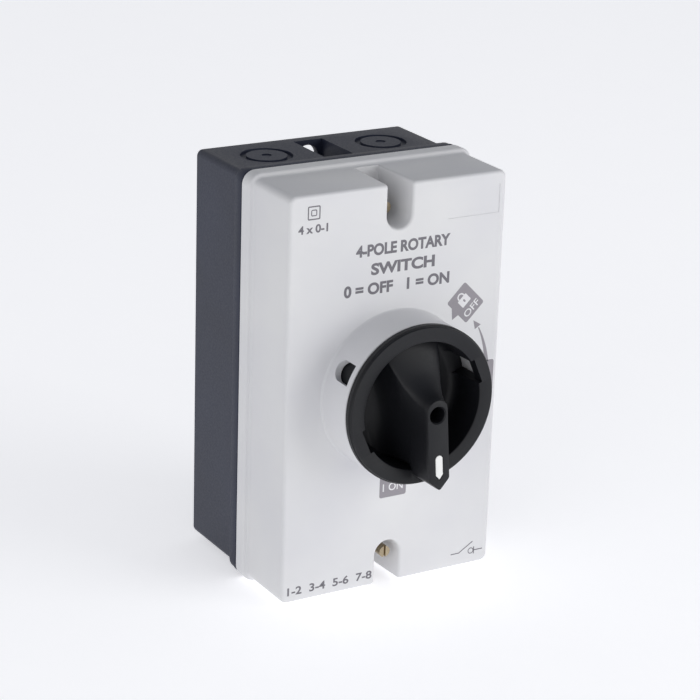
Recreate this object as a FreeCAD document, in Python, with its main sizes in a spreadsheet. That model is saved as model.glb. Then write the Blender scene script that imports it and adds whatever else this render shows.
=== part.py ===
"""A wall-mounted rotary isolator switch in its weatherproof enclosure.

Each piece is drawn the way its mould or tool would see it: x to the right, y up and z forward, out of the
wall, with the middle of the wall-mounting face at zero.  A last Placement stands the piece upright, so that
the row frame has +Z up and the handle faces -Y.
"""
import FreeCAD, Part
import math
import os
import re
import Sketcher

Vector = FreeCAD.Vector
Rotation = FreeCAD.Rotation
Placement = FreeCAD.Placement

doc = FreeCAD.newDocument("RotaryIsolator")

# ---------------------------------------------------------------------------------------------------------
# Driving sizes, in millimetres and degrees
# ---------------------------------------------------------------------------------------------------------
SIZES = {
    # front cover
    "cover_wide": 97.8,             # raised front, across
    "cover_high": 168.4,            # raised front, tall
    "cover_corner": 3.2,
    "cover_wall": 2.6,
    "cover_edge_round": 1.6,
    "cover_deep": 35.2,             # from the flange's rear face to the front face
    "flange_proud": 1.9,            # ledge all round the raised front
    "flange_corner": 5.6,
    "flange_thick": 7.0,
    "flange_edge_round": 1.6,
    "collar_radius": 32.8,          # round collar that the handle turns in
    "collar_wall": 2.9,
    "collar_deep": 18.0,
    "notch_radius": 5.65,           # open-ended notch over each cover screw
    "notch_wall": 2.4,
    "notch_floor": 8.7,             # thickness left under the notch
    "screw_inset": 12.7,            # end of the raised front to the cover screw
    # padlock holes in the collar
    "padlock_wide": 8.7,
    "padlock_long": 10.8,
    "padlock_setback": 2.6,         # from the front face to the hole
    "padlock_angle": 152.75,
    # rear enclosure
    "rim_setback": 0.35,            # rim inside the edge of the cover flange
    "rim_proud": 2.3,               # rim outside the enclosure's side walls
    "rim_deep": 6.5,
    "rim_step": 0.35,
    "rim_step_deep": 2.6,
    "base_deep": 37.0,              # wall face to the rim
    "base_corner": 2.6,
    "base_wall": 3.0,
    "joint_gap": 0.8,               # between rim and flange, where the gasket shows
    "gasket_wide": 2.2,
    "gasket_inset": 1.3,
    "gasket_groove": 2.0,
    # mounting pockets and wall holes
    "pocket_wide": 13.4,
    "pocket_tall": 16.0,
    "pocket_rear": 5.8,             # wall face to the pocket
    "pocket_deep": 27.6,
    "pocket_wall": 2.6,
    "relief_deep": 2.8,             # hollow in the wall face behind each pocket
    "relief_wide": 18.0,
    "relief_tall": 13.0,
    "wall_hole_radius": 4.9,
    "wall_hole_inset": 7.05,        # end of the enclosure to the wall hole
    # conduit knockouts
    "knockout_radius": 10.4,
    "knockout_groove_wide": 1.8,
    "knockout_groove_deep": 1.6,
    "knockout_dimple_radius": 2.0,
    "knockout_dimple_deep": 0.8,
    "knockout_spacing": 53.0,
    "knockout_back": 19.6,          # wall face to the knockout's centre
    # cover screws and their inserts
    "screw_radius": 1.9,
    "screw_head_radius": 2.4,
    "screw_head_long": 5.0,
    "screw_long": 32.0,
    "top_screw_front": 68.4,        # wall face to the head's front, screw turned halfway in
    "bottom_screw_front": 77.4,     # wall face to the head's front, screw backed out
    "screw_slot_wide": 0.9,
    "screw_slot_deep": 0.9,
    "cover_slot_deep": 1.2,
    "head_lap": 0.5,                # how far each shank runs up into its head
    "screw_clear": 0.3,
    "insert_radius": 2.9,
    "insert_long": 8.0,
    "seal_section": 1.0,            # radius of the screw seal's round section
    # rail
    "rail_wide": 35.0,
    "rail_web": 25.0,
    "rail_deep": 7.5,
    "rail_sheet": 1.0,
    "rail_long": 78.0,
    "post_deep": 6.0,
    "post_radius": 4.6,
    "post_spacing": 66.0,
    "rail_screw_radius": 1.8,
    "rail_screw_head": 3.4,
    "rail_screw_head_deep": 2.0,
    "rail_screw_long": 7.0,
    # switch foot and latch
    "foot_gap": 0.3,
    "foot_thick": 5.0,
    "foot_hook": 2.5,
    "latch_thick": 2.0,
    "latch_wide": 10.0,
    "latch_grip": 3.0,              # how far hooks and latch reach behind the rail's lips
    "latch_tail": 40.0,
    "latch_clear": 0.2,
    "latch_eye_wide": 4.0,          # slot for a screwdriver in the latch's tail
    "latch_eye_tall": 1.6,
    "latch_eye_inset": 2.6,
    "guide_wall": 2.6,
    "guide_long": 11.0,
    "guide_gap": 1.5,               # lower edge of the rail to the latch's guide
    # switch stack
    "deck_wide": 50.0,
    "deck_high": 58.0,
    "deck_corner": 4.0,
    "deck_thick": 8.4,
    "deck_floor": 1.6,
    "deck_bore": 17.6,
    "hub_bore": 6.6,
    "rotor_radius": 13.6,
    "rotor_hub": 6.2,
    "run_gap": 0.4,                 # running gap between turning and fixed faces
    "blade_setback": 3.8,           # deck's rear face to its moving blade
    "blade_reach": 17.0,
    "blade_wide": 6.0,
    "blade_thick": 1.4,
    "blade_eye": 5.8,
    "blade_ring": 8.4,
    "contact_reach": 14.4,          # inner end of a fixed contact, from the spindle
    "contact_thick": 1.4,
    "contact_gap": 0.08,
    "foot_low": 9.0,                # nearer edges of a fixed contact's foot, from the spindle
    "foot_high": 14.0,
    "tab_low": 12.2,
    "tab_wide": 4.6,
    "terminal_x": 14.5,
    "clamp_wall": 1.2,
    "clamp_bar": 2.4,               # threaded side of the clamp
    "clamp_tall": 6.6,
    "clamp_thick": 7.0,
    "clamp_inset": 1.6,
    "wire_space": 3.2,
    "clamp_side_gap": 1.8,          # between the tab and the clamp's threaded side
    "well_gap": 0.2,
    "terminal_screw_radius": 1.45,
    "terminal_head_radius": 2.4,
    "terminal_head_deep": 2.0,
    "terminal_screw_long": 7.0,
    "bolt_radius": 1.5,
    "bolt_head_radius": 2.7,
    "bolt_head_deep": 1.8,
    "bolt_x": 20.4,
    "bolt_y": 6.0,
    "nut_thick": 1.6,
    "nut_sunk": 0.4,                # foot's rear face to the nut
    "nut_well_deep": 2.0,
    # snap-action mechanism
    "mech_deep": 11.6,
    "mech_wall": 2.0,
    "mech_bore": 17.6,
    "mech_lid": 2.0,
    "spring_wire": 0.7,             # radius of the spring wire
    "spring_radius": 11.2,
    "spring_turns": 2.25,
    "spring_pitch": 1.8,
    "driver_radius": 15.0,
    "driver_thick": 2.4,
    "driver_hub": 8.0,
    # spindle and drive hub
    "spindle_square": 6.9,
    "spindle_reach": 2.4,           # how far the spindle stands past the cover's front face
    "fit_gap": 0.06,
    "hub_radius": 8.9,
    "hub_bearing": 0.08,
    "hub_clear": 2.0,               # between the mechanism's lid and the hub
    "hub_seat": 4.0,                # how far the hub sits up inside the handle
    "socket_clear": 1.0,            # past the spindle's tip
    "hub_flange_radius": 12.0,
    "hub_flange_thick": 2.0,
    "hub_seal_section": 0.9,
    # handle
    "rest_turn": 4.5,               # how far the handle stands off its ON stop
    "handle_gap": 0.3,
    "ring_thick": 3.7,
    "ring_inner": 26.2,
    "ring_edge_round": 1.0,
    "bowl_clear": 0.5,
    "bowl_rise": 2.0,               # cover's front face to the underside of the bowl
    "bowl_floor": 2.6,
    "grip_front": 112.5,            # wall face to the front of the grip
    "grip_wide": 9.2,
    "grip_mid_wide": 13.0,
    "grip_root_wide": 20.4,
    "grip_nose": 6.2,               # upper end, above the handle's axis
    "grip_mid_nose": 13.0,
    "grip_root_nose": 24.0,
    "grip_shoulder": 27.6,          # where the beak starts to taper
    "grip_tip": 32.0,
    "grip_root_shoulder": 22.0,
    "grip_root_tip": 26.0,
    "grip_mid_tip": 27.5,
    "grip_tip_clear": 0.8,          # tip's root inside the ring's edge
    "grip_hole_radius": 3.35,
    "window_angle": 18.9,           # padlock window, from the handle's right-hand side
    "window_wide": 10.7,
    "window_rear": 84.6,
    "window_front": 96.4,
    "window_lip": 1.1,              # how far the window steps into the ring
    "mark_wide": 3.5,
    "mark_top": 16.8,
    "mark_bottom": 27.4,
    "mark_deep": 1.2,
    "handle_screw_radius": 2.0,
    "handle_screw_head": 3.1,
    "handle_screw_head_deep": 3.0,
    "handle_screw_seat": 11.5,      # front face to the seat under the screw's head
    "handle_screw_long": 7.4,
    "recess_wide": 4.4,             # cross recess in the screw's head
    "recess_slot": 0.9,
    "recess_deep": 1.6,
}

# Places and sizes that follow from the driving ones
PLACES = {
    "flange_wide": "cover_wide + 2 * flange_proud",
    "flange_high": "cover_high + 2 * flange_proud",
    "rim_wide": "flange_wide - 2 * rim_setback",
    "rim_high": "flange_high - 2 * rim_setback",
    "base_wide": "rim_wide - 2 * rim_proud",
    "base_high": "rim_high - 2 * rim_proud",
    "rim_front": "base_deep + rim_deep",
    "flange_rear": "rim_front + joint_gap",
    "front_face": "flange_rear + cover_deep",
    "front_inside": "front_face - cover_wall",
    "collar_front": "front_face + collar_deep",
    "collar_inner": "collar_radius - collar_wall",
    "floor_front": "flange_rear + notch_floor",
    "screw_y": "cover_high / 2 - screw_inset",
    "wall_hole_y": "base_high / 2 - wall_hole_inset",
    "pocket_front": "pocket_rear + pocket_deep",
    "pocket_floor_y": "base_high / 2 - pocket_tall",
    "rail_rear": "base_wall + post_deep",
    "rail_front": "rail_rear + rail_deep",
    "foot_rear": "rail_front + foot_gap",
    "stack_rear": "foot_rear + foot_thick",
    "mech_rear": "stack_rear + 4 * deck_thick",
    "mech_front": "mech_rear + mech_deep",
    "lid_front": "mech_front + mech_lid",
    "ring_rear": "collar_front + handle_gap",
    "ring_front": "ring_rear + ring_thick",
    "bowl_radius": "collar_inner - bowl_clear",
    "bowl_rear": "front_face + bowl_rise",
    "bowl_bottom": "bowl_rear + bowl_floor",
    "spindle_tip": "front_face + spindle_reach",
    "hub_rear": "lid_front + hub_clear",
    "hub_front": "bowl_rear + hub_seat",
    "socket_end": "spindle_tip + socket_clear",
    "screw_seat": "front_face + handle_screw_seat",
}

sizes = doc.addObject("Spreadsheet::Sheet", "Sizes")
for row, (name, value) in enumerate(SIZES.items(), start=1):
    sizes.set(f"A{row}", name)
    sizes.set(f"B{row}", str(value))
    sizes.setAlias(f"B{row}", name)

places = doc.addObject("Spreadsheet::Sheet", "Places")


def formula(text):
    """An expression in plain size names, with each name led to the sheet that holds it."""
    def lead(match):
        word = match.group()
        if word in SIZES:
            return "Sizes." + word
        if word in PLACES:
            return "Places." + word
        return word
    return re.sub(r"[a-z_]+", lead, str(text))


for row, (name, rule) in enumerate(PLACES.items(), start=1):
    places.set(f"A{row}", name)
    places.set(f"B{row}", "=" + formula(rule).replace("Places.", ""))
    places.setAlias(f"B{row}", name)
    doc.recompute()


def size(name):
    """The value of a named size or place."""
    return float(sizes.get(name) if name in SIZES else places.get(name))


def bind(thing, **rules):
    """Tie properties to sheet values; a double underscore stands for a dot."""
    for path, rule in rules.items():
        thing.setExpression(path.replace("__", "."), formula(rule))


def at(thing, x="0", y="0", z="0"):
    bind(thing, Placement__Base__x=x, Placement__Base__y=y, Placement__Base__z=z)
    return thing


# ---------------------------------------------------------------------------------------------------------
# Primitives and booleans, tied to the sheets
# ---------------------------------------------------------------------------------------------------------
def block(x, y, z, wide, high, deep):
    """A box centred on x and y that starts at z and runs forward."""
    thing = doc.addObject("Part::Box", "Block")
    bind(thing, Length=wide, Width=high, Height=deep)
    return at(thing, f"{x} - ({wide}) / 2", f"{y} - ({high}) / 2", z)


def rod(x, y, z, radius, deep):
    thing = doc.addObject("Part::Cylinder", "Rod")
    bind(thing, Radius=radius, Height=deep)
    return at(thing, x, y, z)


def cross_rod(x, y, z, radius, long):
    """A rod that lies along x."""
    thing = doc.addObject("Part::Cylinder", "CrossRod")
    bind(thing, Radius=radius, Height=long)
    thing.Placement.Rotation = Rotation(Vector(0, 1, 0), 90)
    return at(thing, x, y, z)


def upright_rod(x, y, z, radius, long):
    """A rod that lies along y."""
    thing = doc.addObject("Part::Cylinder", "UprightRod")
    bind(thing, Radius=radius, Height=long)
    thing.Placement.Rotation = Rotation(Vector(1, 0, 0), -90)
    return at(thing, x, y, z)


def o_ring(x, y, z, ring, section):
    thing = doc.addObject("Part::Torus", "Ring")
    bind(thing, Radius1=ring, Radius2=section)
    return at(thing, x, y, z)


def cut(base, *tools):
    for tool in tools:
        result = doc.addObject("Part::Cut", "Cut")
        result.Base = base
        result.Tool = tool
        base = result
    return base


def fuse(*things):
    result = doc.addObject("Part::MultiFuse", "Fuse")
    result.Shapes = list(things)
    return result


def group(*things):
    result = doc.addObject("Part::Compound", "Group")
    result.Links = list(things)
    return result


def turned(thing, angle):
    """The same thing turned about the spindle's axis."""
    holder = doc.addObject("Part::Compound", "Turned")
    holder.Links = [thing]
    holder.Placement = Placement(Vector(0, 0, 0), Rotation(Vector(0, 0, 1), angle))
    return holder


def rounded(thing, radius):
    """Round the four edges that run forward on a block."""
    doc.recompute()
    result = doc.addObject("Part::Fillet", "Rounded")
    result.Base = thing
    edges = []
    for number, edge in enumerate(thing.Shape.Edges, start=1):
        first, last = edge.Vertexes[0].Point, edge.Vertexes[-1].Point
        if abs(first.x - last.x) < 1e-6 and abs(first.y - last.y) < 1e-6:
            edges.append((number, size(radius), size(radius)))
    result.Edges = edges
    return result


NODES = {}
STAND_UP = Rotation(Vector(1, 0, 0), 90)


def node(name, thing, turn=0.0):
    """Name a finished piece and stand it upright, turned about the spindle's axis where it turns."""
    thing.Label = name
    thing.Placement = Placement(Vector(0, 0, 0), STAND_UP * Rotation(Vector(0, 0, 1), turn))
    NODES[name] = thing
    return thing


# ---------------------------------------------------------------------------------------------------------
# Sketches and PartDesign features, tied to the sheets
# ---------------------------------------------------------------------------------------------------------
def plane_of(body, role):
    return next(feature for feature in body.Origin.OriginFeatures if feature.Role == role)


def new_sketch(body, name, x="0", y="0", z="0", turn=None):
    """A sketch parallel to the wall at a place; turn is a Rotation that leans it."""
    sketch = body.newObject("Sketcher::SketchObject", name)
    sketch.AttachmentSupport = [(plane_of(body, "XY_Plane"), "")]
    sketch.MapMode = "FlatFace"
    if turn is not None:
        sketch.AttachmentOffset = Placement(Vector(0, 0, 0), turn)
    bind(sketch, AttachmentOffset__Base__x=x, AttachmentOffset__Base__y=y, AttachmentOffset__Base__z=z)
    return sketch


def add_circle(sketch, radius):
    index = sketch.addGeometry(Part.Circle(Vector(0, 0, 0), Vector(0, 0, 1), 5.0), False)
    sketch.addConstraint(Sketcher.Constraint("Coincident", index, 3, -1, 1))
    number = sketch.addConstraint(Sketcher.Constraint("Radius", index, 5.0))
    sketch.setExpression(f"Constraints[{number}]", formula(radius))


def add_rectangle(sketch, wide, high, corner=None):
    """A rectangle centred on the sketch's origin, with round corners where a corner radius is given."""
    doc.recompute()
    half_x = evaluate(wide) / 2
    half_y = evaluate(high) / 2
    radius = evaluate(corner) if corner else 0.0
    corners = [(1, -1), (1, 1), (-1, 1), (-1, -1)]
    start = sketch.GeometryCount
    inner = [Vector(sx * (half_x - radius), sy * (half_y - radius), 0) for sx, sy in corners]
    outer = [Vector(0, -half_y, 0), Vector(half_x, 0, 0), Vector(0, half_y, 0), Vector(-half_x, 0, 0)]
    for side in range(4):
        before, after = inner[side - 1], inner[side]
        if side % 2 == 0:
            first, last = Vector(before.x, outer[side].y, 0), Vector(after.x, outer[side].y, 0)
        else:
            first, last = Vector(outer[side].x, before.y, 0), Vector(outer[side].x, after.y, 0)
        sketch.addGeometry(Part.LineSegment(first, last), False)
    rules = [Sketcher.Constraint("Horizontal", start), Sketcher.Constraint("Vertical", start + 1),
             Sketcher.Constraint("Horizontal", start + 2), Sketcher.Constraint("Vertical", start + 3)]
    if corner:
        for side in range(4):
            begin = math.radians(-90 + 90 * side)
            circle = Part.Circle(inner[side], Vector(0, 0, 1), radius)
            sketch.addGeometry(Part.ArcOfCircle(circle, begin, begin + math.pi / 2), False)
        for side in range(4):
            arc = start + 4 + side
            rules.append(Sketcher.Constraint("Tangent", start + side, 2, arc, 1))
            rules.append(Sketcher.Constraint("Tangent", arc, 2, start + (side + 1) % 4, 1))
            if side:
                rules.append(Sketcher.Constraint("Equal", start + 4, arc))
        rules.append(Sketcher.Constraint("Symmetric", start + 4, 3, start + 6, 3, -1, 1))
    else:
        for side in range(4):
            rules.append(Sketcher.Constraint("Coincident", start + side, 2, start + (side + 1) % 4, 1))
        rules.append(Sketcher.Constraint("Symmetric", start, 1, start + 2, 1, -1, 1))
    sketch.addConstraint(rules)
    across = sketch.addConstraint(Sketcher.Constraint("DistanceX", start + 3, 1, start + 1, 1, 2 * half_x))
    sketch.setExpression(f"Constraints[{across}]", formula(wide))
    upward = sketch.addConstraint(Sketcher.Constraint("DistanceY", start, 1, start + 2, 1, 2 * half_y))
    sketch.setExpression(f"Constraints[{upward}]", formula(high))
    if corner:
        bend = sketch.addConstraint(Sketcher.Constraint("Radius", start + 4, radius))
        sketch.setExpression(f"Constraints[{bend}]", formula(corner))


def evaluate(rule):
    """The present value of a rule in plain size names."""
    names = {name: size(name) for name in list(SIZES) + list(PLACES) if re.search(rf"\b{name}\b", str(rule))}
    text = str(rule)
    for name in sorted(names, key=len, reverse=True):
        text = re.sub(rf"\b{name}\b", repr(names[name]), text)
    return float(FreeCAD.Units.Quantity(text).Value)


def pad(body, name, sketch, length):
    """Grow the sketch forward, along its own normal."""
    feature = body.newObject("PartDesign::Pad", name)
    feature.Profile = sketch
    bind(feature, Length=length)
    sketch.Visibility = False
    return feature


def pocket(body, name, sketch, length, forward=False):
    """Cut from the sketch back towards the wall, or forward; a pocket that cuts nothing stops the build."""
    doc.recompute()
    volume = body.Shape.Volume
    feature = body.newObject("PartDesign::Pocket", name)
    feature.Profile = sketch
    feature.Reversed = forward
    bind(feature, Length=length)
    doc.recompute()
    if not body.Shape.Volume < volume - 1e-3:
        raise RuntimeError(f"{body.Label}: {name} cuts nothing")
    return feature


def add_block(body, name, x, y, z, wide, high, deep, corner=None):
    sketch = new_sketch(body, name + "Sketch", x, y, z)
    add_rectangle(sketch, wide, high, corner)
    return pad(body, name, sketch, deep)


def cut_block(body, name, x, y, z, wide, high, deep, corner=None):
    """Cut a block that starts at z and runs forward."""
    sketch = new_sketch(body, name + "Sketch", x, y, z)
    add_rectangle(sketch, wide, high, corner)
    return pocket(body, name, sketch, deep, forward=True)


def add_rod(body, name, x, y, z, radius, deep):
    sketch = new_sketch(body, name + "Sketch", x, y, z)
    add_circle(sketch, radius)
    return pad(body, name, sketch, deep)


def cut_rod(body, name, x, y, z, radius, deep):
    sketch = new_sketch(body, name + "Sketch", x, y, z)
    add_circle(sketch, radius)
    return pocket(body, name, sketch, deep, forward=True)


def round_edges(body, name, radius, wanted):
    """Fillet the edges of the last feature that the test picks out."""
    doc.recompute()
    tip = body.Tip
    names = [f"Edge{number}" for number, edge in enumerate(tip.Shape.Edges, start=1) if wanted(edge)]
    if not names:
        raise RuntimeError(f"{body.Label}: {name} finds no edge")
    fillet = body.newObject("PartDesign::Fillet", name)
    fillet.Base = (tip, names)
    bind(fillet, Radius=radius)
    doc.recompute()
    return fillet


def at_height(level):
    """A test for edges that lie flat at one height above the wall."""
    def wanted(edge):
        return abs(edge.BoundBox.ZMin - level) < 1e-4 and abs(edge.BoundBox.ZMax - level) < 1e-4
    return wanted


# ---------------------------------------------------------------------------------------------------------
# Rear enclosure: a deep shell with a two-step rim, mounting pockets, knockouts and posts for the rail
# ---------------------------------------------------------------------------------------------------------
def make_rear_enclosure():
    body = doc.addObject("PartDesign::Body", "RearEnclosure")
    add_block(body, "Walls", "0", "0", "0", "base_wide", "base_high", "rim_front", "base_corner")
    inner_corner = "flange_corner - rim_setback"
    lower_wide, lower_high = "rim_wide - 2 * rim_step", "rim_high - 2 * rim_step"
    add_block(body, "LowerRim", "0", "0", "base_deep", lower_wide, lower_high, "rim_deep",
              inner_corner + " - rim_step")
    add_block(body, "UpperRim", "0", "0", "rim_front - rim_step_deep", "rim_wide", "rim_high",
              "rim_step_deep", inner_corner)
    cut_block(body, "Cavity", "0", "0", "base_wall", "base_wide - 2 * base_wall",
              "base_high - 2 * base_wall", "rim_front", "base_corner")
    block_wide = "pocket_wide + 2 * pocket_wall"
    block_high = "pocket_tall + pocket_wall - base_wall / 2"
    for side, end in ((1, "Top"), (-1, "Bottom")):
        block_y = f"{side} * (base_high / 2 - base_wall / 2 - ({block_high}) / 2)"
        add_block(body, end + "PocketWalls", "0", block_y, "base_wall / 2", block_wide, block_high,
                  "rim_front - base_wall / 2")
        cut_block(body, end + "Pocket", "0", f"{side} * base_high / 2", "pocket_rear", "pocket_wide",
                  "2 * pocket_tall", "pocket_deep")
        cut_block(body, end + "Relief", "0", f"{side} * wall_hole_y", "0", "relief_wide",
                  "relief_tall", "relief_deep", "base_corner")
        cut_rod(body, end + "WallHole", "0", f"{side} * wall_hole_y", "0", "wall_hole_radius",
                "pocket_rear + 1")
        cut_rod(body, end + "InsertHole", "0", f"{side} * screw_y", "rim_front - insert_long",
                "insert_radius", "insert_long + 1")
        cut_rod(body, end + "ScrewHole", "0", f"{side} * screw_y", "pocket_front - 1",
                "screw_radius + screw_clear", "rim_front - pocket_front")
        for hand, where in ((-1, "Left"), (1, "Right")):
            lean = Rotation(Vector(1, 0, 0), -90 * side)
            name = end + where + "Knockout"
            knock_x = f"{hand} * knockout_spacing / 2"
            knock_y = f"{side} * base_high / 2"
            ring = new_sketch(body, name + "Sketch", knock_x, knock_y, "knockout_back", lean)
            add_circle(ring, "knockout_radius")
            add_circle(ring, "knockout_radius - knockout_groove_wide")
            pocket(body, name, ring, "knockout_groove_deep")
            dimple = new_sketch(body, name + "DimpleSketch", knock_x, knock_y, "knockout_back", lean)
            add_circle(dimple, "knockout_dimple_radius")
            pocket(body, name + "Dimple", dimple, "knockout_dimple_deep")
    for hand, where in ((-1, "Left"), (1, "Right")):
        post_x = f"{hand} * post_spacing / 2"
        add_rod(body, where + "Post", post_x, "0", "base_wall - 1", "post_radius", "post_deep + 1")
        cut_rod(body, where + "PostHole", post_x, "0", "base_wall - 1", "rail_screw_radius",
                "post_deep + 2")
    node("rear_enclosure", body)


# ---------------------------------------------------------------------------------------------------------
# Front cover: flange, raised front, collar for the handle, screw notches and padlock holes
# ---------------------------------------------------------------------------------------------------------
def make_front_cover():
    body = doc.addObject("PartDesign::Body", "FrontCover")
    add_block(body, "Flange", "0", "0", "flange_rear", "flange_wide", "flange_high", "flange_thick",
              "flange_corner")
    flange_top = at_height(size("flange_rear") + size("flange_thick"))
    round_edges(body, "FlangeRound", "flange_edge_round", flange_top)
    add_block(body, "Raised", "0", "0", "flange_rear + 1", "cover_wide", "cover_high", "cover_deep - 1",
              "cover_corner")
    round_edges(body, "FrontRound", "cover_edge_round", at_height(size("front_face")))
    cut_block(body, "Hollow", "0", "0", "flange_rear - 1", "cover_wide - 2 * cover_wall",
              "cover_high - 2 * cover_wall", "cover_deep - cover_wall + 1", "cover_corner")
    notch_wide = "2 * notch_radius"
    for side, end in ((1, "Top"), (-1, "Bottom")):
        outer = "notch_radius + notch_wall"
        wall_y = "cover_high / 2 - cover_wall / 2"
        add_rod(body, end + "NotchEnd", "0", f"{side} * screw_y", "flange_rear", outer, "cover_deep - 1")
        add_block(body, end + "NotchWalls", "0", f"{side} * (screw_y + {wall_y}) / 2", "flange_rear",
                  f"2 * ({outer})", f"{wall_y} - screw_y", "cover_deep - 1")
        cut_rod(body, end + "NotchRound", "0", f"{side} * screw_y", "floor_front", "notch_radius",
                "front_face - floor_front + 1")
        cut_block(body, end + "Notch", "0", f"{side} * (screw_y + cover_high / 4)", "floor_front", notch_wide,
                  "cover_high / 2", "front_face - floor_front + 1")
        cut_rod(body, end + "ScrewHole", "0", f"{side} * screw_y", "flange_rear - 1",
                "screw_radius + screw_clear", "notch_floor + 2")
        cut_rod(body, end + "SealSeat", "0", f"{side} * screw_y", "flange_rear - 1",
                "screw_radius + 2 * (seal_section + fit_gap)", "1 + 2 * seal_section + fit_gap")
    collar = new_sketch(body, "CollarSketch", "0", "0", "front_inside")
    add_circle(collar, "collar_radius")
    add_circle(collar, "collar_inner")
    pad(body, "Collar", collar, "collar_front - front_inside")
    cut_rod(body, "HubHole", "0", "0", "front_inside - 1", "hub_radius + hub_bearing", "cover_wall + 2")
    groove = new_sketch(body, "GasketGrooveSketch", "0", "0", "flange_rear")
    add_rectangle(groove, "flange_wide - 2 * gasket_inset", "flange_high - 2 * gasket_inset",
                  "flange_corner - gasket_inset")
    inner = "gasket_inset + gasket_wide"
    add_rectangle(groove, f"flange_wide - 2 * ({inner})", f"flange_high - 2 * ({inner})",
                  f"flange_corner - ({inner})")
    pocket(body, "GasketGroove", groove, "gasket_groove", forward=True)
    for half, name in ((0, "Left"), (180, "Right")):
        turn = size("padlock_angle") + half
        outward = Rotation(Vector(0, 0, 1), turn) * Rotation(Vector(0, 1, 0), 90)
        square = new_sketch(body, name + "PadlockSketch", "0", "0",
                            "collar_front - padlock_setback - (padlock_long - padlock_wide / 2) / 2", outward)
        add_rectangle(square, "padlock_long - padlock_wide / 2", "padlock_wide")
        pocket(body, name + "Padlock", square, "collar_radius + 1", forward=True)
        bend = new_sketch(body, name + "PadlockEndSketch", "0", "0",
                          "collar_front - padlock_setback - padlock_long + padlock_wide / 2", outward)
        add_circle(bend, "padlock_wide / 2")
        pocket(body, name + "PadlockEnd", bend, "collar_radius + 1", forward=True)
    node("front_cover", body)


# ---------------------------------------------------------------------------------------------------------
# Gasket, threaded inserts, cover screws and their seals
# ---------------------------------------------------------------------------------------------------------
def make_cover_gasket():
    body = doc.addObject("PartDesign::Body", "CoverGasket")
    ring = new_sketch(body, "RingSketch", "0", "0", "rim_front")
    outer, inner = "(gasket_inset)", "(gasket_inset + gasket_wide)"
    for inset in (outer, inner):
        add_rectangle(ring, f"flange_wide - 2 * {inset}", f"flange_high - 2 * {inset}",
                      f"flange_corner - {inset}")
    pad(body, "Ring", ring, "joint_gap + gasket_groove")
    node("cover_gasket", body)


def make_screw_inserts():
    sleeves = []
    for side in (1, -1):
        place = ("0", f"{side} * screw_y")
        outside = rod(*place, "rim_front - insert_long", "insert_radius", "insert_long")
        bore = rod(*place, "rim_front - insert_long - 1", "screw_radius + fit_gap", "insert_long + 2")
        sleeves.append(cut(outside, bore))
    node("screw_inserts", group(*sleeves))


def make_cover_screw(name, side, front):
    """A long captive screw; front is the place of its head's front face."""
    y = f"{side} * screw_y"
    head = rod("0", y, f"{front} - screw_head_long", "screw_head_radius", "screw_head_long")
    shank = rod("0", y, f"{front} - screw_long", "screw_radius", "screw_long - screw_head_long + head_lap")
    slot = block("0", y, f"{front} - cover_slot_deep", "screw_slot_wide", "2 * screw_head_radius + 1",
                 "cover_slot_deep + 1")
    node(name, cut(fuse(head, shank), slot))


def make_screw_seals():
    seals = []
    for side in (1, -1):
        seals.append(o_ring("0", f"{side} * screw_y", "flange_rear + seal_section",
                            "screw_radius + fit_gap + seal_section", "seal_section"))
    node("screw_seals", group(*seals))


# ---------------------------------------------------------------------------------------------------------
# Rail with its screws
# ---------------------------------------------------------------------------------------------------------
def make_rail():
    """Top-hat rail that lies across the enclosure, open side forward."""
    web = block("0", "0", "rail_rear", "rail_long", "rail_web", "rail_sheet")
    parts = [web]
    for side in (1, -1):
        middle = "(rail_web - rail_sheet) / 2"
        parts.append(block("0", f"{side} * {middle}", "rail_rear", "rail_long", "rail_sheet", "rail_deep"))
        lip = "(rail_wide - rail_web) / 2 + rail_sheet"
        lip_y = f"{side} * (rail_wide / 2 - ({lip}) / 2)"
        parts.append(block("0", lip_y, "rail_front - rail_sheet", "rail_long", lip, "rail_sheet"))
    holes = [rod(f"{hand} * post_spacing / 2", "0", "rail_rear - 1", "rail_screw_radius + screw_clear",
                 "rail_sheet + 2") for hand in (1, -1)]
    node("din_rail", cut(fuse(*parts), *holes))


def make_rail_screws():
    screws = []
    for hand in (1, -1):
        x = f"{hand} * post_spacing / 2"
        seat = "rail_rear + rail_sheet"
        head = rod(x, "0", seat, "rail_screw_head", "rail_screw_head_deep")
        shank = rod(x, "0", f"{seat} - rail_screw_long", "rail_screw_radius - fit_gap",
                    "rail_screw_long + head_lap")
        slot = block(x, "0", f"{seat} + rail_screw_head_deep - screw_slot_deep", "2 * rail_screw_head + 1",
                     "screw_slot_wide", "screw_slot_deep + 1")
        screws.append(cut(fuse(head, shank), slot))
    node("rail_screws", group(*screws))


# ---------------------------------------------------------------------------------------------------------
# Switch foot, latch and stack
# ---------------------------------------------------------------------------------------------------------
LIP_REAR = "(rail_front - rail_sheet)"
HOOK_EDGE = "(rail_wide / 2 + foot_gap)"


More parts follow.
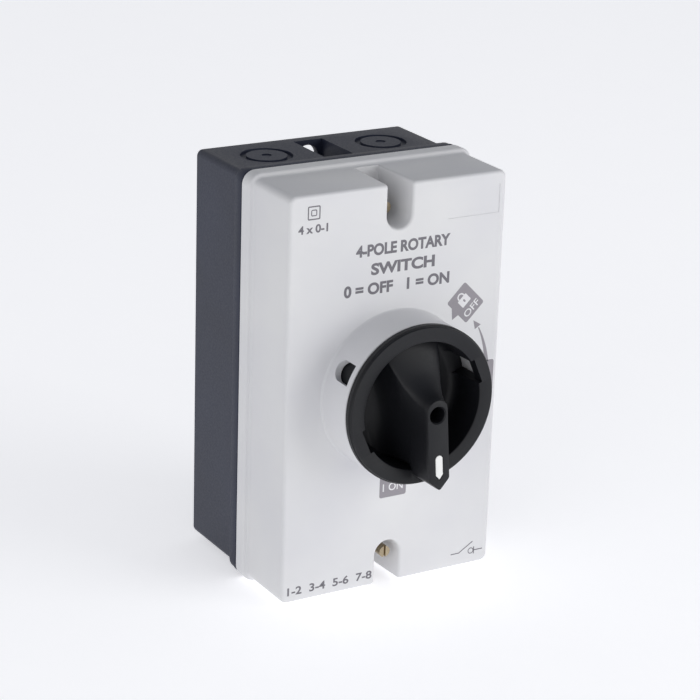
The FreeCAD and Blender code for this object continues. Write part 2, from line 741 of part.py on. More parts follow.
def make_switch_foot():
    plate = block("0", "0", "foot_rear", "deck_wide", "deck_high", "foot_thick")
    parts = [rounded(plate, "deck_corner")]
    hook_rear = f"({LIP_REAR} - foot_gap - foot_hook)"
    for hand in (1, -1):
        x = f"{hand} * deck_wide / 4"
        parts.append(block(x, f"{HOOK_EDGE} + foot_hook / 2", hook_rear, "guide_long", "foot_hook",
                           f"foot_rear - {hook_rear} + 1"))
        claw_y = f"{HOOK_EDGE} + foot_hook - (latch_grip + foot_hook) / 2"
        parts.append(block(x, claw_y, hook_rear, "guide_long", "latch_grip + foot_hook", "foot_hook"))
    guide_rear = f"({LIP_REAR} - foot_gap - latch_thick - latch_clear - guide_wall)"
    guide_y = f"(-({HOOK_EDGE} + guide_gap + guide_long / 2))"
    guide = block("0", guide_y, guide_rear, "latch_wide + 2 * guide_wall", "guide_long",
                  f"foot_rear - {guide_rear} + 1")
    channel = block("0", guide_y, f"{guide_rear} + guide_wall", "latch_wide + 2 * latch_clear",
                    "guide_long + 2", "latch_thick + 2 * latch_clear")
    screws = [rod(x, y, "foot_rear - 1", "bolt_radius + fit_gap", "foot_thick + 2") for x, y in bolt_places()]
    nuts = [rod(x, y, "foot_rear - 1", "bolt_head_radius + screw_clear", "nut_well_deep + 1")
            for x, y in bolt_places()]
    node("switch_foot", cut(fuse(*parts, guide), channel, *screws, *nuts))


def make_rail_latch():
    """Sliding latch: its upper end grips behind the rail's lower lip and its tail takes a screwdriver."""
    rear = f"({LIP_REAR} - foot_gap - latch_thick)"
    top = "(rail_wide / 2 - latch_grip)"
    plate = block("0", f"-({top} + latch_tail) / 2", rear, "latch_wide", f"latch_tail - {top}", "latch_thick")
    eye = block("0", "-(latch_tail - latch_eye_inset)", f"{rear} - 1", "latch_eye_wide", "latch_eye_tall",
                "latch_thick + 2")
    node("rail_latch", cut(plate, eye))


def diagonal(deck):
    """Which diagonal a deck's two terminals lie on: 1 or -1, turn and turn about."""
    return 1 if deck % 2 else -1


def deck_rear(deck):
    return f"(stack_rear + {deck - 1} * deck_thick)"


def blade_rear(deck):
    return f"({deck_rear(deck)} + blade_setback)"


def contact_rear(deck):
    return f"({blade_rear(deck)} + blade_thick + contact_gap)"


CLAMP_Y = "(deck_high / 2 - clamp_inset - clamp_tall / 2)"
TAB_INNER = "(terminal_x - contact_thick / 2)"
TAB_OUTER = "(terminal_x + contact_thick / 2)"
CLAMP_INNER = f"({TAB_INNER} - wire_space - clamp_wall)"
CLAMP_OUTER = f"({TAB_OUTER} + clamp_side_gap + clamp_bar)"
CLAMP_WIDE = f"({CLAMP_OUTER} - {CLAMP_INNER})"
CLAMP_X = f"(({CLAMP_OUTER} + {CLAMP_INNER}) / 2)"
WIRE_X = f"({TAB_INNER} - wire_space / 2)"


def tab_rear(deck):
    return f"({contact_rear(deck)} + contact_thick - tab_wide)"


def clamp_rear(deck):
    return f"({tab_rear(deck)} + tab_wide / 2 - clamp_thick / 2)"


def screw_level(deck):
    return f"({tab_rear(deck)} + tab_wide / 2)"


def bolt_places():
    return [(f"{hand} * bolt_x", f"{side} * bolt_y") for hand in (1, -1) for side in (1, -1)]


def terminals(deck):
    """A deck's two terminals as (end, x side, y side): line terminals at the top, load at the bottom."""
    return [("line", -diagonal(deck), 1), ("load", diagonal(deck), -1)]


def across(side, low, high):
    """Centre and width of a stretch of x or y that is given for the positive side."""
    return f"{side} * ({low} + {high}) / 2", f"{high} - {low}"


def make_contact_deck(deck):
    """One pole: a moulded deck, open at the front, with a bore for its rotor and two terminal wells."""
    rear = deck_rear(deck)
    shell = rounded(block("0", "0", rear, "deck_wide", "deck_high", "deck_thick"), "deck_corner")
    tools = [rod("0", "0", f"{rear} + deck_floor", "deck_bore", "deck_thick"),
             rod("0", "0", f"{rear} - 1", "hub_bore", "deck_thick")]
    tools += [rod(x, y, f"{rear} - 1", "bolt_radius + fit_gap", "deck_thick + 2") for x, y in bolt_places()]
    for end, side, top in terminals(deck):
        clamp_x, clamp_wide = across(side, CLAMP_INNER, CLAMP_OUTER)
        tab_x, tab_thick = across(side, TAB_INNER, TAB_OUTER)
        tab_y, tab_long = across(top, "tab_low", CLAMP_Y)
        foot_x, foot_wide = across(side, "foot_low", TAB_OUTER)
        foot_y, foot_tall = across(top, "foot_low", "foot_high")
        tools.append(block(clamp_x, f"{top} * {CLAMP_Y}", f"{clamp_rear(deck)} - well_gap",
                           f"{clamp_wide} + 2 * well_gap", "clamp_tall + 2 * well_gap", "deck_thick"))
        tools.append(block(tab_x, tab_y, f"{tab_rear(deck)} - well_gap", f"{tab_thick} + 2 * well_gap",
                           f"{tab_long} + 2 * well_gap", "deck_thick"))
        tools.append(block(foot_x, foot_y, f"{contact_rear(deck)} - well_gap", f"{foot_wide} + 2 * well_gap",
                           f"{foot_tall} + 2 * well_gap", "deck_thick"))
        wire = upright_rod(f"{side} * {WIRE_X}", f"{CLAMP_Y} * {top} - (1 - {top}) / 2 * deck_high",
                           screw_level(deck), "wire_space / 2", "deck_high")
        screw = cross_rod(f"{side} * {CLAMP_X} - (1 - {side}) / 2 * deck_wide", f"{top} * {CLAMP_Y}",
                          screw_level(deck), "terminal_head_radius + screw_clear", "deck_wide")
        tools += [wire, screw]
    node(f"contact_deck_{deck}", cut(shell, *tools))


def make_terminal(deck, end, side, top):
    """A fixed contact, bent from strip, and the screw clamp that holds the wire against its tab."""
    tab_x, tab_thick = across(side, TAB_INNER, TAB_OUTER)
    tab_y, tab_long = across(top, "tab_low", f"{CLAMP_Y} + clamp_tall / 2")
    foot_x, foot_wide = across(side, "foot_low", TAB_OUTER)
    foot_y, foot_tall = across(top, "foot_low", "foot_high")
    tab = block(tab_x, tab_y, tab_rear(deck), tab_thick, f"{tab_long}", "tab_wide")
    foot = block(foot_x, foot_y, contact_rear(deck), foot_wide, foot_tall, "contact_thick")
    clearing = rod("0", "0", f"{tab_rear(deck)} - 1", "contact_reach", "tab_wide + 2")
    node(f"{end}_contact_{deck}", cut(fuse(tab, foot), clearing))

    clamp_x, clamp_wide = across(side, CLAMP_INNER, CLAMP_OUTER)
    hollow_x, hollow_wide = across(side, f"({CLAMP_INNER} + clamp_wall)", f"({CLAMP_OUTER} - clamp_bar)")
    cage = block(clamp_x, f"{top} * {CLAMP_Y}", clamp_rear(deck), clamp_wide, "clamp_tall", "clamp_thick")
    hollow = block(hollow_x, f"{top} * {CLAMP_Y}", f"{clamp_rear(deck)} + clamp_wall - fit_gap", hollow_wide,
                   "clamp_tall + 2", "clamp_thick - 2 * clamp_wall + 2 * fit_gap")
    thread = cross_rod(f"{side} * {CLAMP_X} - (1 - {side}) / 2 * deck_wide", f"{top} * {CLAMP_Y}",
                       screw_level(deck), "terminal_screw_radius + fit_gap", "deck_wide")
    node(f"{end}_clamp_{deck}", cut(cage, hollow, thread))


def make_terminal_screws():
    screws = []
    for deck in range(1, 5):
        for end, side, top in terminals(deck):
            tip = f"({TAB_OUTER} + 2 * fit_gap)"
            head = f"({tip} + terminal_screw_long - terminal_head_deep)"
            y, z = f"{top} * {CLAMP_Y}", screw_level(deck)
            flip = f"(1 - {side}) / 2"
            shank_long = "(terminal_screw_long - head_lap)"
            shank = cross_rod(f"{side} * {tip} - {flip} * {shank_long}", y, z, "terminal_screw_radius",
                              shank_long)
            cap = cross_rod(f"{side} * {head} - {flip} * terminal_head_deep", y, z, "terminal_head_radius",
                            "terminal_head_deep")
            slot = block(f"{side} * ({head} + terminal_head_deep)", y, f"{z} - screw_slot_wide / 2",
                         "2 * screw_slot_deep", "2 * terminal_head_radius + 1", "screw_slot_wide")
            screws.append(cut(fuse(shank, cap), slot))
    node("terminal_screws", group(*screws))


# ---------------------------------------------------------------------------------------------------------
# Mechanism, through bolts, rotors, blades, driver, spring and spindle
# ---------------------------------------------------------------------------------------------------------
def make_mechanism():
    shell = rounded(block("0", "0", "mech_rear", "deck_wide", "deck_high", "mech_deep"), "deck_corner")
    tools = [rod("0", "0", "mech_rear + mech_wall", "mech_bore", "mech_deep"),
             rod("0", "0", "mech_rear - 1", "hub_bore", "mech_deep")]
    tools += [rod(x, y, "mech_rear - 1", "bolt_radius + fit_gap", "mech_deep + 2") for x, y in bolt_places()]
    node("mechanism_housing", cut(shell, *tools))
    lid = rounded(block("0", "0", "mech_front", "deck_wide", "deck_high", "mech_lid"), "deck_corner")
    holes = [rod(x, y, "mech_front - 1", "bolt_radius + fit_gap", "mech_lid + 2") for x, y in bolt_places()]
    node("mechanism_lid", cut(lid, rod("0", "0", "mech_front - 1", "hub_bore", "mech_lid + 2"), *holes))


def make_stack_bolts():
    bolts, nuts = [], []
    for x, y in bolt_places():
        shank = rod(x, y, "foot_rear + nut_sunk", "bolt_radius",
                    "lid_front - foot_rear - nut_sunk + head_lap")
        head = rod(x, y, "lid_front", "bolt_head_radius", "bolt_head_deep")
        slot = block(x, y, "lid_front + bolt_head_deep - screw_slot_deep", "2 * bolt_head_radius + 1",
                     "screw_slot_wide", "screw_slot_deep + 1")
        bolts.append(cut(fuse(shank, head), slot))
        nut = rod(x, y, "foot_rear + nut_sunk", "bolt_head_radius", "nut_thick")
        nuts.append(cut(nut, rod(x, y, "foot_rear", "bolt_radius + fit_gap", "foot_thick")))
    node("stack_bolts", group(*bolts))
    node("stack_nuts", group(*nuts))


def square_bore(rear, deep):
    side = "spindle_square + 2 * fit_gap"
    return block("0", "0", f"{rear} - 1", side, side, f"{deep} + 2")


def blade_shape(deck, grow):
    """The moving contact: a bar across the rotor with an eye round the spindle, along its own diagonal."""
    bar = turned(block("0", "0", f"{blade_rear(deck)} - {grow}", f"2 * (blade_reach + {grow})",
                       f"blade_wide + 2 * {grow}", f"blade_thick + 2 * {grow}"), 90 + 45 * diagonal(deck))
    ring = rod("0", "0", f"{blade_rear(deck)} - {grow}", f"blade_ring + {grow}", f"blade_thick + 2 * {grow}")
    eye = rod("0", "0", f"{blade_rear(deck)} - 1", f"blade_eye - {grow}", "blade_thick + 2")
    return cut(fuse(bar, ring), eye)


def make_rotor(deck, turn):
    rear = deck_rear(deck)
    disc = rod("0", "0", f"{rear} + deck_floor + run_gap", "rotor_radius",
               "deck_thick - deck_floor - 2 * run_gap")
    hub = rod("0", "0", rear, "rotor_hub", "deck_thick")
    rotor = cut(fuse(disc, hub), square_bore(rear, "deck_thick"), blade_shape(deck, "fit_gap"))
    node(f"cam_rotor_{deck}", rotor, turn)
    node(f"contact_blade_{deck}", blade_shape(deck, "0"), turn)


def make_spring():
    """Torsion spring of the snap action: a round wire swept along a helix."""
    level = size("mech_rear") + size("mech_wall") + size("run_gap") + size("driver_thick")
    level += size("spring_wire") + size("fit_gap")
    height = size("spring_pitch") * size("spring_turns")
    helix = Part.makeHelix(size("spring_pitch"), height, size("spring_radius"))
    start = Vector(size("spring_radius"), 0, 0)
    wire = Part.Wire([Part.makeCircle(size("spring_wire"), start, Vector(0, 1, 0))])
    coil = Part.Wire(helix.Edges).makePipeShell([wire], True, True)
    coil.translate(Vector(0, 0, level))
    feature = doc.addObject("Part::Feature", "SnapSpring")
    feature.Shape = coil
    return feature


def make_drive(turn):
    driver_rear = "(mech_rear + mech_wall + run_gap)"
    disc = rod("0", "0", driver_rear, "driver_radius", "driver_thick")
    hub = rod("0", "0", driver_rear, "driver_hub", f"mech_front - run_gap - {driver_rear}")
    low_hub = rod("0", "0", "mech_rear", "rotor_hub", "mech_wall + 1")
    node("snap_driver", cut(fuse(disc, hub, low_hub), square_bore("mech_rear", "mech_deep")), turn)
    node("snap_spring", group(make_spring()), turn)
    shaft = block("0", "0", "stack_rear", "spindle_square", "spindle_square", "spindle_tip - stack_rear")
    node("spindle", group(shaft), turn)


# ---------------------------------------------------------------------------------------------------------
# Handle: drive hub, seal, knob, white mark and screw
# ---------------------------------------------------------------------------------------------------------
def make_drive_hub(turn):
    neck = rod("0", "0", "hub_rear", "hub_radius", "hub_front - hub_rear")
    flange = rod("0", "0", "front_inside - handle_gap - hub_flange_thick", "hub_flange_radius",
                 "hub_flange_thick")
    side = "spindle_square + 2 * fit_gap"
    socket = block("0", "0", "hub_rear - 1", side, side, "socket_end - hub_rear + 1")
    thread = rod("0", "0", "socket_end - 1", "handle_screw_radius + fit_gap", "hub_front - socket_end + 2")
    node("drive_hub", cut(fuse(neck, flange), socket, thread), turn)
    seal = o_ring("0", "0", "front_face + bowl_rise / 2", "hub_radius + hub_seal_section", "hub_seal_section")
    node("hub_seal", group(seal), turn)


def add_outline(sketch, points):
    """A closed outline of straight sides; each point is a pair of rules."""
    doc.recompute()
    places_now = [Vector(evaluate(x), evaluate(y), 0) for x, y in points]
    count = len(points)
    for number in range(count):
        sketch.addGeometry(Part.LineSegment(places_now[number], places_now[(number + 1) % count]), False)
    for number in range(count):
        sketch.addConstraint(Sketcher.Constraint("Coincident", number, 2, (number + 1) % count, 1))
    for number, (x, y) in enumerate(points):
        now = places_now[number]
        for kind, rule, value in (("DistanceX", x, now.x), ("DistanceY", y, now.y)):
            index = sketch.addConstraint(Sketcher.Constraint(kind, -1, 1, number, 1, value))
            sketch.setExpression(f"Constraints[{index}]", formula(rule))


def grip_outline(wide, nose, shoulder, tip):
    """Half-round nose in three flats at the top, straight flanks, and a pointed beak at the bottom."""
    half = f"({wide}) / 2"
    cheek = f"({wide}) / 4"
    return [(half, f"-({shoulder})"), (half, f"{nose} - {cheek}"), (cheek, nose), (f"-{cheek}", nose),
            (f"-({half})", f"{nose} - {cheek}"), (f"-({half})", f"-({shoulder})"), ("0", f"-({tip})")]


def add_loft(body, name, lower, upper):
    """A loft between two outlines, each given as (height, points)."""
    sketches = []
    for level, (height, points) in enumerate((lower, upper)):
        sketch = new_sketch(body, f"{name}Sketch{level}", "0", "0", height)
        add_outline(sketch, points)
        sketches.append(sketch)
    loft = body.newObject("PartDesign::AdditiveLoft", name)
    loft.Profile = sketches[0]
    loft.Sections = [sketches[1]]
    loft.Ruled = True
    return loft


def make_knob(turn):
    body = doc.addObject("PartDesign::Body", "HandleKnob")
    add_rod(body, "BowlFloor", "0", "0", "bowl_rear", "bowl_radius", "bowl_floor")
    wall = new_sketch(body, "BowlWallSketch", "0", "0", "bowl_rear")
    add_circle(wall, "bowl_radius")
    add_circle(wall, "ring_inner")
    pad(body, "BowlWall", wall, "ring_front - bowl_rear")
    ring = new_sketch(body, "RingSketch", "0", "0", "ring_rear")
    add_circle(ring, "collar_radius")
    add_circle(ring, "ring_inner")
    pad(body, "Ring", ring, "ring_thick")
    ring_front = at_height(size("ring_front"))
    round_edges(body, "RingRound", "ring_edge_round",
                lambda edge: ring_front(edge) and edge.Length > 6 * size("bowl_radius"))
    root = grip_outline("grip_root_wide", "grip_root_nose", "grip_root_shoulder", "grip_root_tip")
    middle = grip_outline("grip_mid_wide", "grip_mid_nose", "grip_root_shoulder", "grip_mid_tip")
    beak = grip_outline("grip_mid_wide", "grip_mid_nose", "grip_shoulder", "collar_radius - grip_tip_clear")
    front = grip_outline("grip_wide", "grip_nose", "grip_shoulder", "grip_tip")
    add_loft(body, "GripRoot", ("bowl_bottom - 0.5", root), ("ring_rear + 1", middle))
    add_loft(body, "GripFront", ("ring_rear + 1", beak), ("grip_front", front))
    doc.recompute()
    cut_rod(body, "HubSeat", "0", "0", "bowl_rear - 1", "hub_radius + fit_gap", "hub_seat + 1")
    cut_rod(body, "ScrewHole", "0", "0", "hub_front - 1", "handle_screw_radius + 2 * fit_gap",
            "screw_seat - hub_front + 2")
    cut_rod(body, "ScrewWell", "0", "0", "screw_seat", "grip_hole_radius", "grip_front - screw_seat + 1")
    for half, name in ((0, "Right"), (180, "Left")):
        lean = Rotation(Vector(0, 0, 1), size("window_angle") + half) * Rotation(Vector(0, 1, 0), 90)
        way = f"(window_angle + {half})"
        start = "(ring_inner - 4)"
        place = (f"{start} * cos({way})", f"{start} * sin({way})")
        window = new_sketch(body, name + "WindowSketch", *place, "(window_front + window_rear) / 2", lean)
        add_rectangle(window, "window_front - window_rear", "window_wide")
        pocket(body, name + "Window", window, f"bowl_radius - {start} + 1", forward=True)
        lip = new_sketch(body, name + "LipSketch", *place, "(window_front + ring_front + 1) / 2", lean)
        add_rectangle(lip, "ring_front + 1 - window_front", "window_wide")
        pocket(body, name + "Lip", lip, f"ring_inner + window_lip - {start}", forward=True)
    mark = new_sketch(body, "MarkSketch", "0", "0", "grip_front - mark_deep")
    add_outline(mark, mark_outline("0"))
    pocket(body, "MarkSeat", mark, "mark_deep + 1", forward=True)
    node("handle_knob", body, turn)


def mark_outline(shrink):
    half = f"(mark_wide / 2 - {shrink})"
    cheek = "mark_wide / 4"
    return [(half, f"-(mark_bottom - mark_wide / 2)"), (half, f"-(mark_top + {cheek})"),
            (cheek, f"-(mark_top + {shrink})"), (f"-{cheek}", f"-(mark_top + {shrink})"),
            (f"-{half}", f"-(mark_top + {cheek})"), (f"-{half}", f"-(mark_bottom - mark_wide / 2)"),
            ("0", f"-(mark_bottom - {shrink})")]


def make_handle_mark(turn):
    body = doc.addObject("PartDesign::Body", "HandleMark")
    outline = new_sketch(body, "MarkOutline", "0", "0", "grip_front - mark_deep")
    add_outline(outline, mark_outline("0.02"))
    pad(body, "Mark", outline, "mark_deep")
    node("handle_mark", body, turn)


def make_handle_screw(turn):
    head = rod("0", "0", "screw_seat", "handle_screw_head", "handle_screw_head_deep")
    shank = rod("0", "0", "screw_seat - handle_screw_long", "handle_screw_radius",
                "handle_screw_long + head_lap")
    recess_rear = "screw_seat + handle_screw_head_deep - recess_deep"
    slots = [block("0", "0", recess_rear, wide, high, "recess_deep + 1")
             for wide, high in (("recess_wide", "recess_slot"), ("recess_slot", "recess_wide"))]
    node("handle_screw", cut(fuse(head, shank), *slots), turn)


# ---------------------------------------------------------------------------------------------------------
# Build every piece, check the document, write the files
# ---------------------------------------------------------------------------------------------------------
make_rear_enclosure()
make_front_cover()
make_cover_gasket()
make_screw_inserts()
make_cover_screw("cover_screw_top", 1, "top_screw_front")
make_cover_screw("cover_screw_bottom", -1, "bottom_screw_front")
make_screw_seals()
make_rail()
make_rail_screws()
make_switch_foot()
make_rail_latch()
rest_turn = size("rest_turn")
for pole in range(1, 5):
    make_contact_deck(pole)
    make_rotor(pole, rest_turn)
    for terminal in terminals(pole):
        make_terminal(pole, *terminal)
make_terminal_screws()
make_mechanism()
make_stack_bolts()
make_drive(rest_turn)
make_drive_hub(rest_turn)
make_knob(rest_turn)
make_handle_mark(rest_turn)
make_handle_screw(rest_turn)
doc.recompute()

for thing in doc.Objects:
    if "Invalid" in thing.State or "Error" in thing.State:
        raise RuntimeError(f"{thing.Name} ({thing.Label}) did not recompute: {thing.State}")
for name, thing in NODES.items():
    if thing.Shape.isNull() or not thing.Shape.isValid():
        raise RuntimeError(f"{name} has no valid shape")

os.makedirs("parts", exist_ok=True)
for name, thing in NODES.items():
    thing.Shape.exportStep(f"parts/{name}.step")
print(f"{len(NODES)} nodes written")
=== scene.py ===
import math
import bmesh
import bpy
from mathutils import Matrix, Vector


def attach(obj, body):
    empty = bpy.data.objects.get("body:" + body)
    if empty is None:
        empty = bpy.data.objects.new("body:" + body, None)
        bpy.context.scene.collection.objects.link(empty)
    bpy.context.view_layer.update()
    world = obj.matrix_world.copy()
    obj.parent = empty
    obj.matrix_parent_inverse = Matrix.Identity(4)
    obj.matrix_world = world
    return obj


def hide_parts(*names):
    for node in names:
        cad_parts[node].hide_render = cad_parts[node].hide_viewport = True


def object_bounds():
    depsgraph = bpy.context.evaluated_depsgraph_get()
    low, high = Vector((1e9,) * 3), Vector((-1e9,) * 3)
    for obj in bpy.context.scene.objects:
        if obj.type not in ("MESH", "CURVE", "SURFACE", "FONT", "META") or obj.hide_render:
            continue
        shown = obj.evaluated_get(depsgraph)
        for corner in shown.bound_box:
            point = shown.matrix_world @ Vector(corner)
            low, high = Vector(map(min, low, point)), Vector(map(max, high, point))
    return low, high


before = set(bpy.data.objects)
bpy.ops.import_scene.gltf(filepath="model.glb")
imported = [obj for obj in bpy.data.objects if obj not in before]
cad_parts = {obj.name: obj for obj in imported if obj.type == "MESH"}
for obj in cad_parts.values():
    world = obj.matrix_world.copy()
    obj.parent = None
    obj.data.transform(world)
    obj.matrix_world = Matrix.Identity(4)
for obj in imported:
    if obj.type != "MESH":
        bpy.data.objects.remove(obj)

# %% [markdown]
# # A rotary isolator switch in Blender
# The switch is a grey weatherproof box with a black handle. The CAD model already has every piece at its
# true size and place, so this lesson keeps the inner pieces as they are and gives them materials. The three
# big mouldings that everyone sees, the rear box, the cover and the handle, are modelled again here, because
# a moulding lives from its soft edges and flowing corners.

cad_low, cad_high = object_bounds()
print("CAD box in mm:", [round(1000 * c, 1) for c in (*cad_low, *cad_high)])

MM = 0.001
HAIR = 1e-6  # in metres: two points closer than this share a place


def front(x, z, depth):
    """A point given across, up and out of the wall, in millimetres."""
    return Vector((x * MM, -depth * MM, z * MM))


# %% [markdown]
# ## Colours and nodes
# Paint charts and screens give a colour as a hex number in sRGB, while Blender mixes light in linear values.
# One function turns one into the other. A second small one adds a node, sets it and wires it, so that each
# material below reads as a short recipe.

# %% Two helpers for every material
def colour(text):
    """An sRGB hex colour as linear red, green, blue and alpha."""
    parts = [int(text[i:i + 2], 16) / 255 for i in (1, 3, 5)]
    return tuple(p / 12.92 if p <= 0.04045 else ((p + 0.055) / 1.055) ** 2.4 for p in parts) + (1.0,)


def add_node(tree, kind, settings=None, links=None):
    """Adds a node, sets its properties or sockets by name, and feeds its inputs from other sockets."""
    node = tree.nodes.new("ShaderNode" + kind)
    for name, value in (settings or {}).items():
        if name in node.bl_rna.properties and name.islower():
            setattr(node, name, value)
        else:
            node.inputs[name].default_value = value
    for name, source in (links or {}).items():
        tree.links.new(source, node.inputs[name])
    return node


def per_mm(size):
    """Noise scale, in cycles per metre, whose bumps are about this many millimetres apart."""
    return 1000 / size


print("mid grey in linear light:", round(colour("#808080")[0], 3))

# %% [markdown]
# ## Moulded plastic
# Every moulding here is injection moulded in a tool whose walls were spark eroded, which leaves a fine matt
# grain. It could be an image, but a noise texture has no seams and no edge to its resolution. Two noises do
# it: a fine one for the grain, and a broad faint one for the way that plastic flows and cools unevenly,
# which the eye reads as a slight change in gloss.

# %% The recipe for a moulded plastic
def moulded_plastic(name, pale, dark, roughness, grain, lift, ior=1.5):
    """Spark-eroded plastic: two close colours, a roughness, the grain's spacing and its height in mm."""
    material = bpy.data.materials.new(name)
    material.use_nodes = True
    tree = material.node_tree
    shader = tree.nodes["Principled BSDF"]
    shader.inputs["IOR"].default_value = ior
    place = add_node(tree, "TexCoord").outputs["Object"]
    flow = add_node(tree, "TexNoise", {"Scale": per_mm(45), "Detail": 3.0}, {"Vector": place})
    speck = add_node(tree, "TexNoise", {"Scale": per_mm(grain), "Detail": 4.0}, {"Vector": place})
    tint = add_node(tree, "ValToRGB", links={"Fac": flow.outputs["Fac"]})
    tint.color_ramp.elements[0].position = 0.35
    tint.color_ramp.elements[0].color = colour(dark)
    tint.color_ramp.elements[1].position = 0.65
    tint.color_ramp.elements[1].color = colour(pale)
    tree.links.new(tint.outputs["Color"], shader.inputs["Base Color"])
    gloss = add_node(tree, "MapRange", {"From Min": 0.3, "From Max": 0.7, "To Min": roughness - 0.05,
                                        "To Max": roughness + 0.06}, {"Value": speck.outputs["Fac"]})
    tree.links.new(gloss.outputs["Result"], shader.inputs["Roughness"])
    bump = add_node(tree, "Bump", {"Strength": 0.6, "Distance": lift * MM}, {"Height": speck.outputs["Fac"]})
    tree.links.new(bump.outputs["Normal"], shader.inputs["Normal"])
    return material


# %% [markdown]
# The cover is light grey polycarbonate blend, the box a blue-grey one, and the handle is glass-filled
# polyamide, whose fibres give it a slightly rougher, cooler black.

# %% Plastics of the three mouldings and the inner pieces
cover_grey = moulded_plastic("light grey polycarbonate, moulded", "#dededf", "#d8d8db", 0.42, 0.9, 0.012)
box_grey = moulded_plastic("blue-grey polycarbonate, moulded", "#2b3042", "#272b3b", 0.5, 0.8, 0.02, 1.36)
handle_black = moulded_plastic("black glass-filled polyamide, moulded", "#17181d", "#131418", 0.46, 0.7,
                               0.02, 1.38)
deck_cream = moulded_plastic("grey thermoset switch deck, moulded", "#8d8f8b", "#82847f", 0.5, 0.6, 0.02)
drive_white = moulded_plastic("natural polyamide drive, moulded", "#cfcabb", "#c4bfb0", 0.4, 0.8, 0.015)
mark_white = moulded_plastic("white acrylic mark, pressed in", "#f4f4f2", "#eeeeec", 0.35, 0.5, 0.006)
print("plastics:", len(bpy.data.materials))

# %% [markdown]
# ## Rubber
# Gasket and O-rings are black nitrile rubber. Rubber from a ground mould has a soft bloom on it: low gloss,
# and a cloudy variation that a noise at a few millimetres gives.

# %% Seal rubber
def seal_rubber():
    material = bpy.data.materials.new("black nitrile rubber, moulded")
    material.use_nodes = True
    tree = material.node_tree
    shader = tree.nodes["Principled BSDF"]
    shader.inputs["IOR"].default_value = 1.52
    place = add_node(tree, "TexCoord").outputs["Object"]
    cloud = add_node(tree, "TexNoise", {"Scale": per_mm(3), "Detail": 5.0}, {"Vector": place})
    bloom = add_node(tree, "MixRGB", {"Color1": colour("#101113"), "Color2": colour("#1b1c1e")},
                     {"Fac": cloud.outputs["Fac"]})
    tree.links.new(bloom.outputs["Color"], shader.inputs["Base Color"])
    gloss = add_node(tree, "MapRange", {"To Min": 0.55, "To Max": 0.8}, {"Value": cloud.outputs["Fac"]})
    tree.links.new(gloss.outputs["Result"], shader.inputs["Roughness"])
    bump = add_node(tree, "Bump", {"Strength": 0.4, "Distance": 0.02 * MM}, {"Height": cloud.outputs["Fac"]})
    tree.links.new(bump.outputs["Normal"], shader.inputs["Normal"])
    return material


rubber = seal_rubber()

# %% [markdown]
# ## Metals
# The screws, rail and contacts are turned, rolled or stamped. A tool leaves fine lines all along the way it
# travelled, so the noise is stretched: long along one axis and short across the other two. Brass and copper
# carry a thin brown tarnish in patches, and zinc plate has a faint cloudy chromate.

# %% The recipe for a worked metal
def worked_metal(name, bright, dull, roughness, line, stretch):
    """Metal with tool lines this many mm apart; stretch is how much longer they are along x, y and z."""
    material = bpy.data.materials.new(name)
    material.use_nodes = True
    tree = material.node_tree
    shader = tree.nodes["Principled BSDF"]
    shader.inputs["Metallic"].default_value = 1.0
    place = add_node(tree, "TexCoord").outputs["Object"]
    along = add_node(tree, "Mapping", {"Scale": [1 / s for s in stretch]}, {"Vector": place})
    lines = add_node(tree, "TexNoise", {"Scale": per_mm(line), "Detail": 3.0},
                     {"Vector": along.outputs["Vector"]})
    patch = add_node(tree, "TexNoise", {"Scale": per_mm(6), "Detail": 4.0}, {"Vector": place})
    tarnish = add_node(tree, "MixRGB", {"Color1": colour(bright), "Color2": colour(dull)},
                       {"Fac": patch.outputs["Fac"]})
    tree.links.new(tarnish.outputs["Color"], shader.inputs["Base Color"])
    gloss = add_node(tree, "MapRange", {"To Min": roughness - 0.08, "To Max": roughness + 0.12},
                     {"Value": lines.outputs["Fac"]})
    tree.links.new(gloss.outputs["Result"], shader.inputs["Roughness"])
    bump = add_node(tree, "Bump", {"Strength": 0.5, "Distance": 0.01 * MM}, {"Height": lines.outputs["Fac"]})
    tree.links.new(bump.outputs["Normal"], shader.inputs["Normal"])
    return material


# %% Metals of this switch
screw_brass = worked_metal("nickel-washed brass, turned", "#b9ab92", "#93856c", 0.32, 0.25, (1, 1, 1))
insert_brass = worked_metal("brass, turned and knurled", "#c2a25c", "#9a7c40", 0.35, 0.25, (1, 1, 1))
zinc_plate = worked_metal("zinc-plated steel, rolled", "#b9bcc0", "#9fa3a8", 0.34, 0.3, (12, 1, 1))
bright_steel = worked_metal("bright steel, drawn", "#a9abad", "#8f9193", 0.28, 0.2, (1, 20, 1))
copper = worked_metal("tinned copper, stamped", "#c79b7c", "#a87a5a", 0.33, 0.3, (1, 1, 8))
print("materials:", [m.name for m in bpy.data.materials])

# %% [markdown]
# ## Dressing the CAD pieces
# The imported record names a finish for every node. Each name gets the material above that the real piece is
# made of, put into the object's own slots.

# %% Materials for the pieces that stay as the CAD has them
finish_of = {
    "enclosure_plastic": box_grey, "cover_plastic": cover_grey, "handle_plastic": handle_black,
    "mark_plastic": mark_white, "seal_rubber": rubber, "brass": insert_brass, "screw_brass": screw_brass,
    "zinc_steel": zinc_plate, "spindle_steel": bright_steel, "switch_plastic": deck_cream,
    "drive_nylon": drive_white, "contact_copper": copper,
}
for node_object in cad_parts.values():
    for place_of_material in node_object.material_slots:
        place_of_material.material = finish_of[place_of_material.material.name.split(".")[0]]
print("dressed nodes:", len(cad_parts))

# %% [markdown]
# ## Modelling by outlines
# A moulding like this box is a pile of rounded rectangles: the tool maker gives each level its width,
# height and corner. One could bevel a cube, but then all levels share one corner radius. Here a flat plate
# gets round corners, and is then extruded level by level; after each extrusion its four corners are scaled
# about their own centres and moved to the next outline.

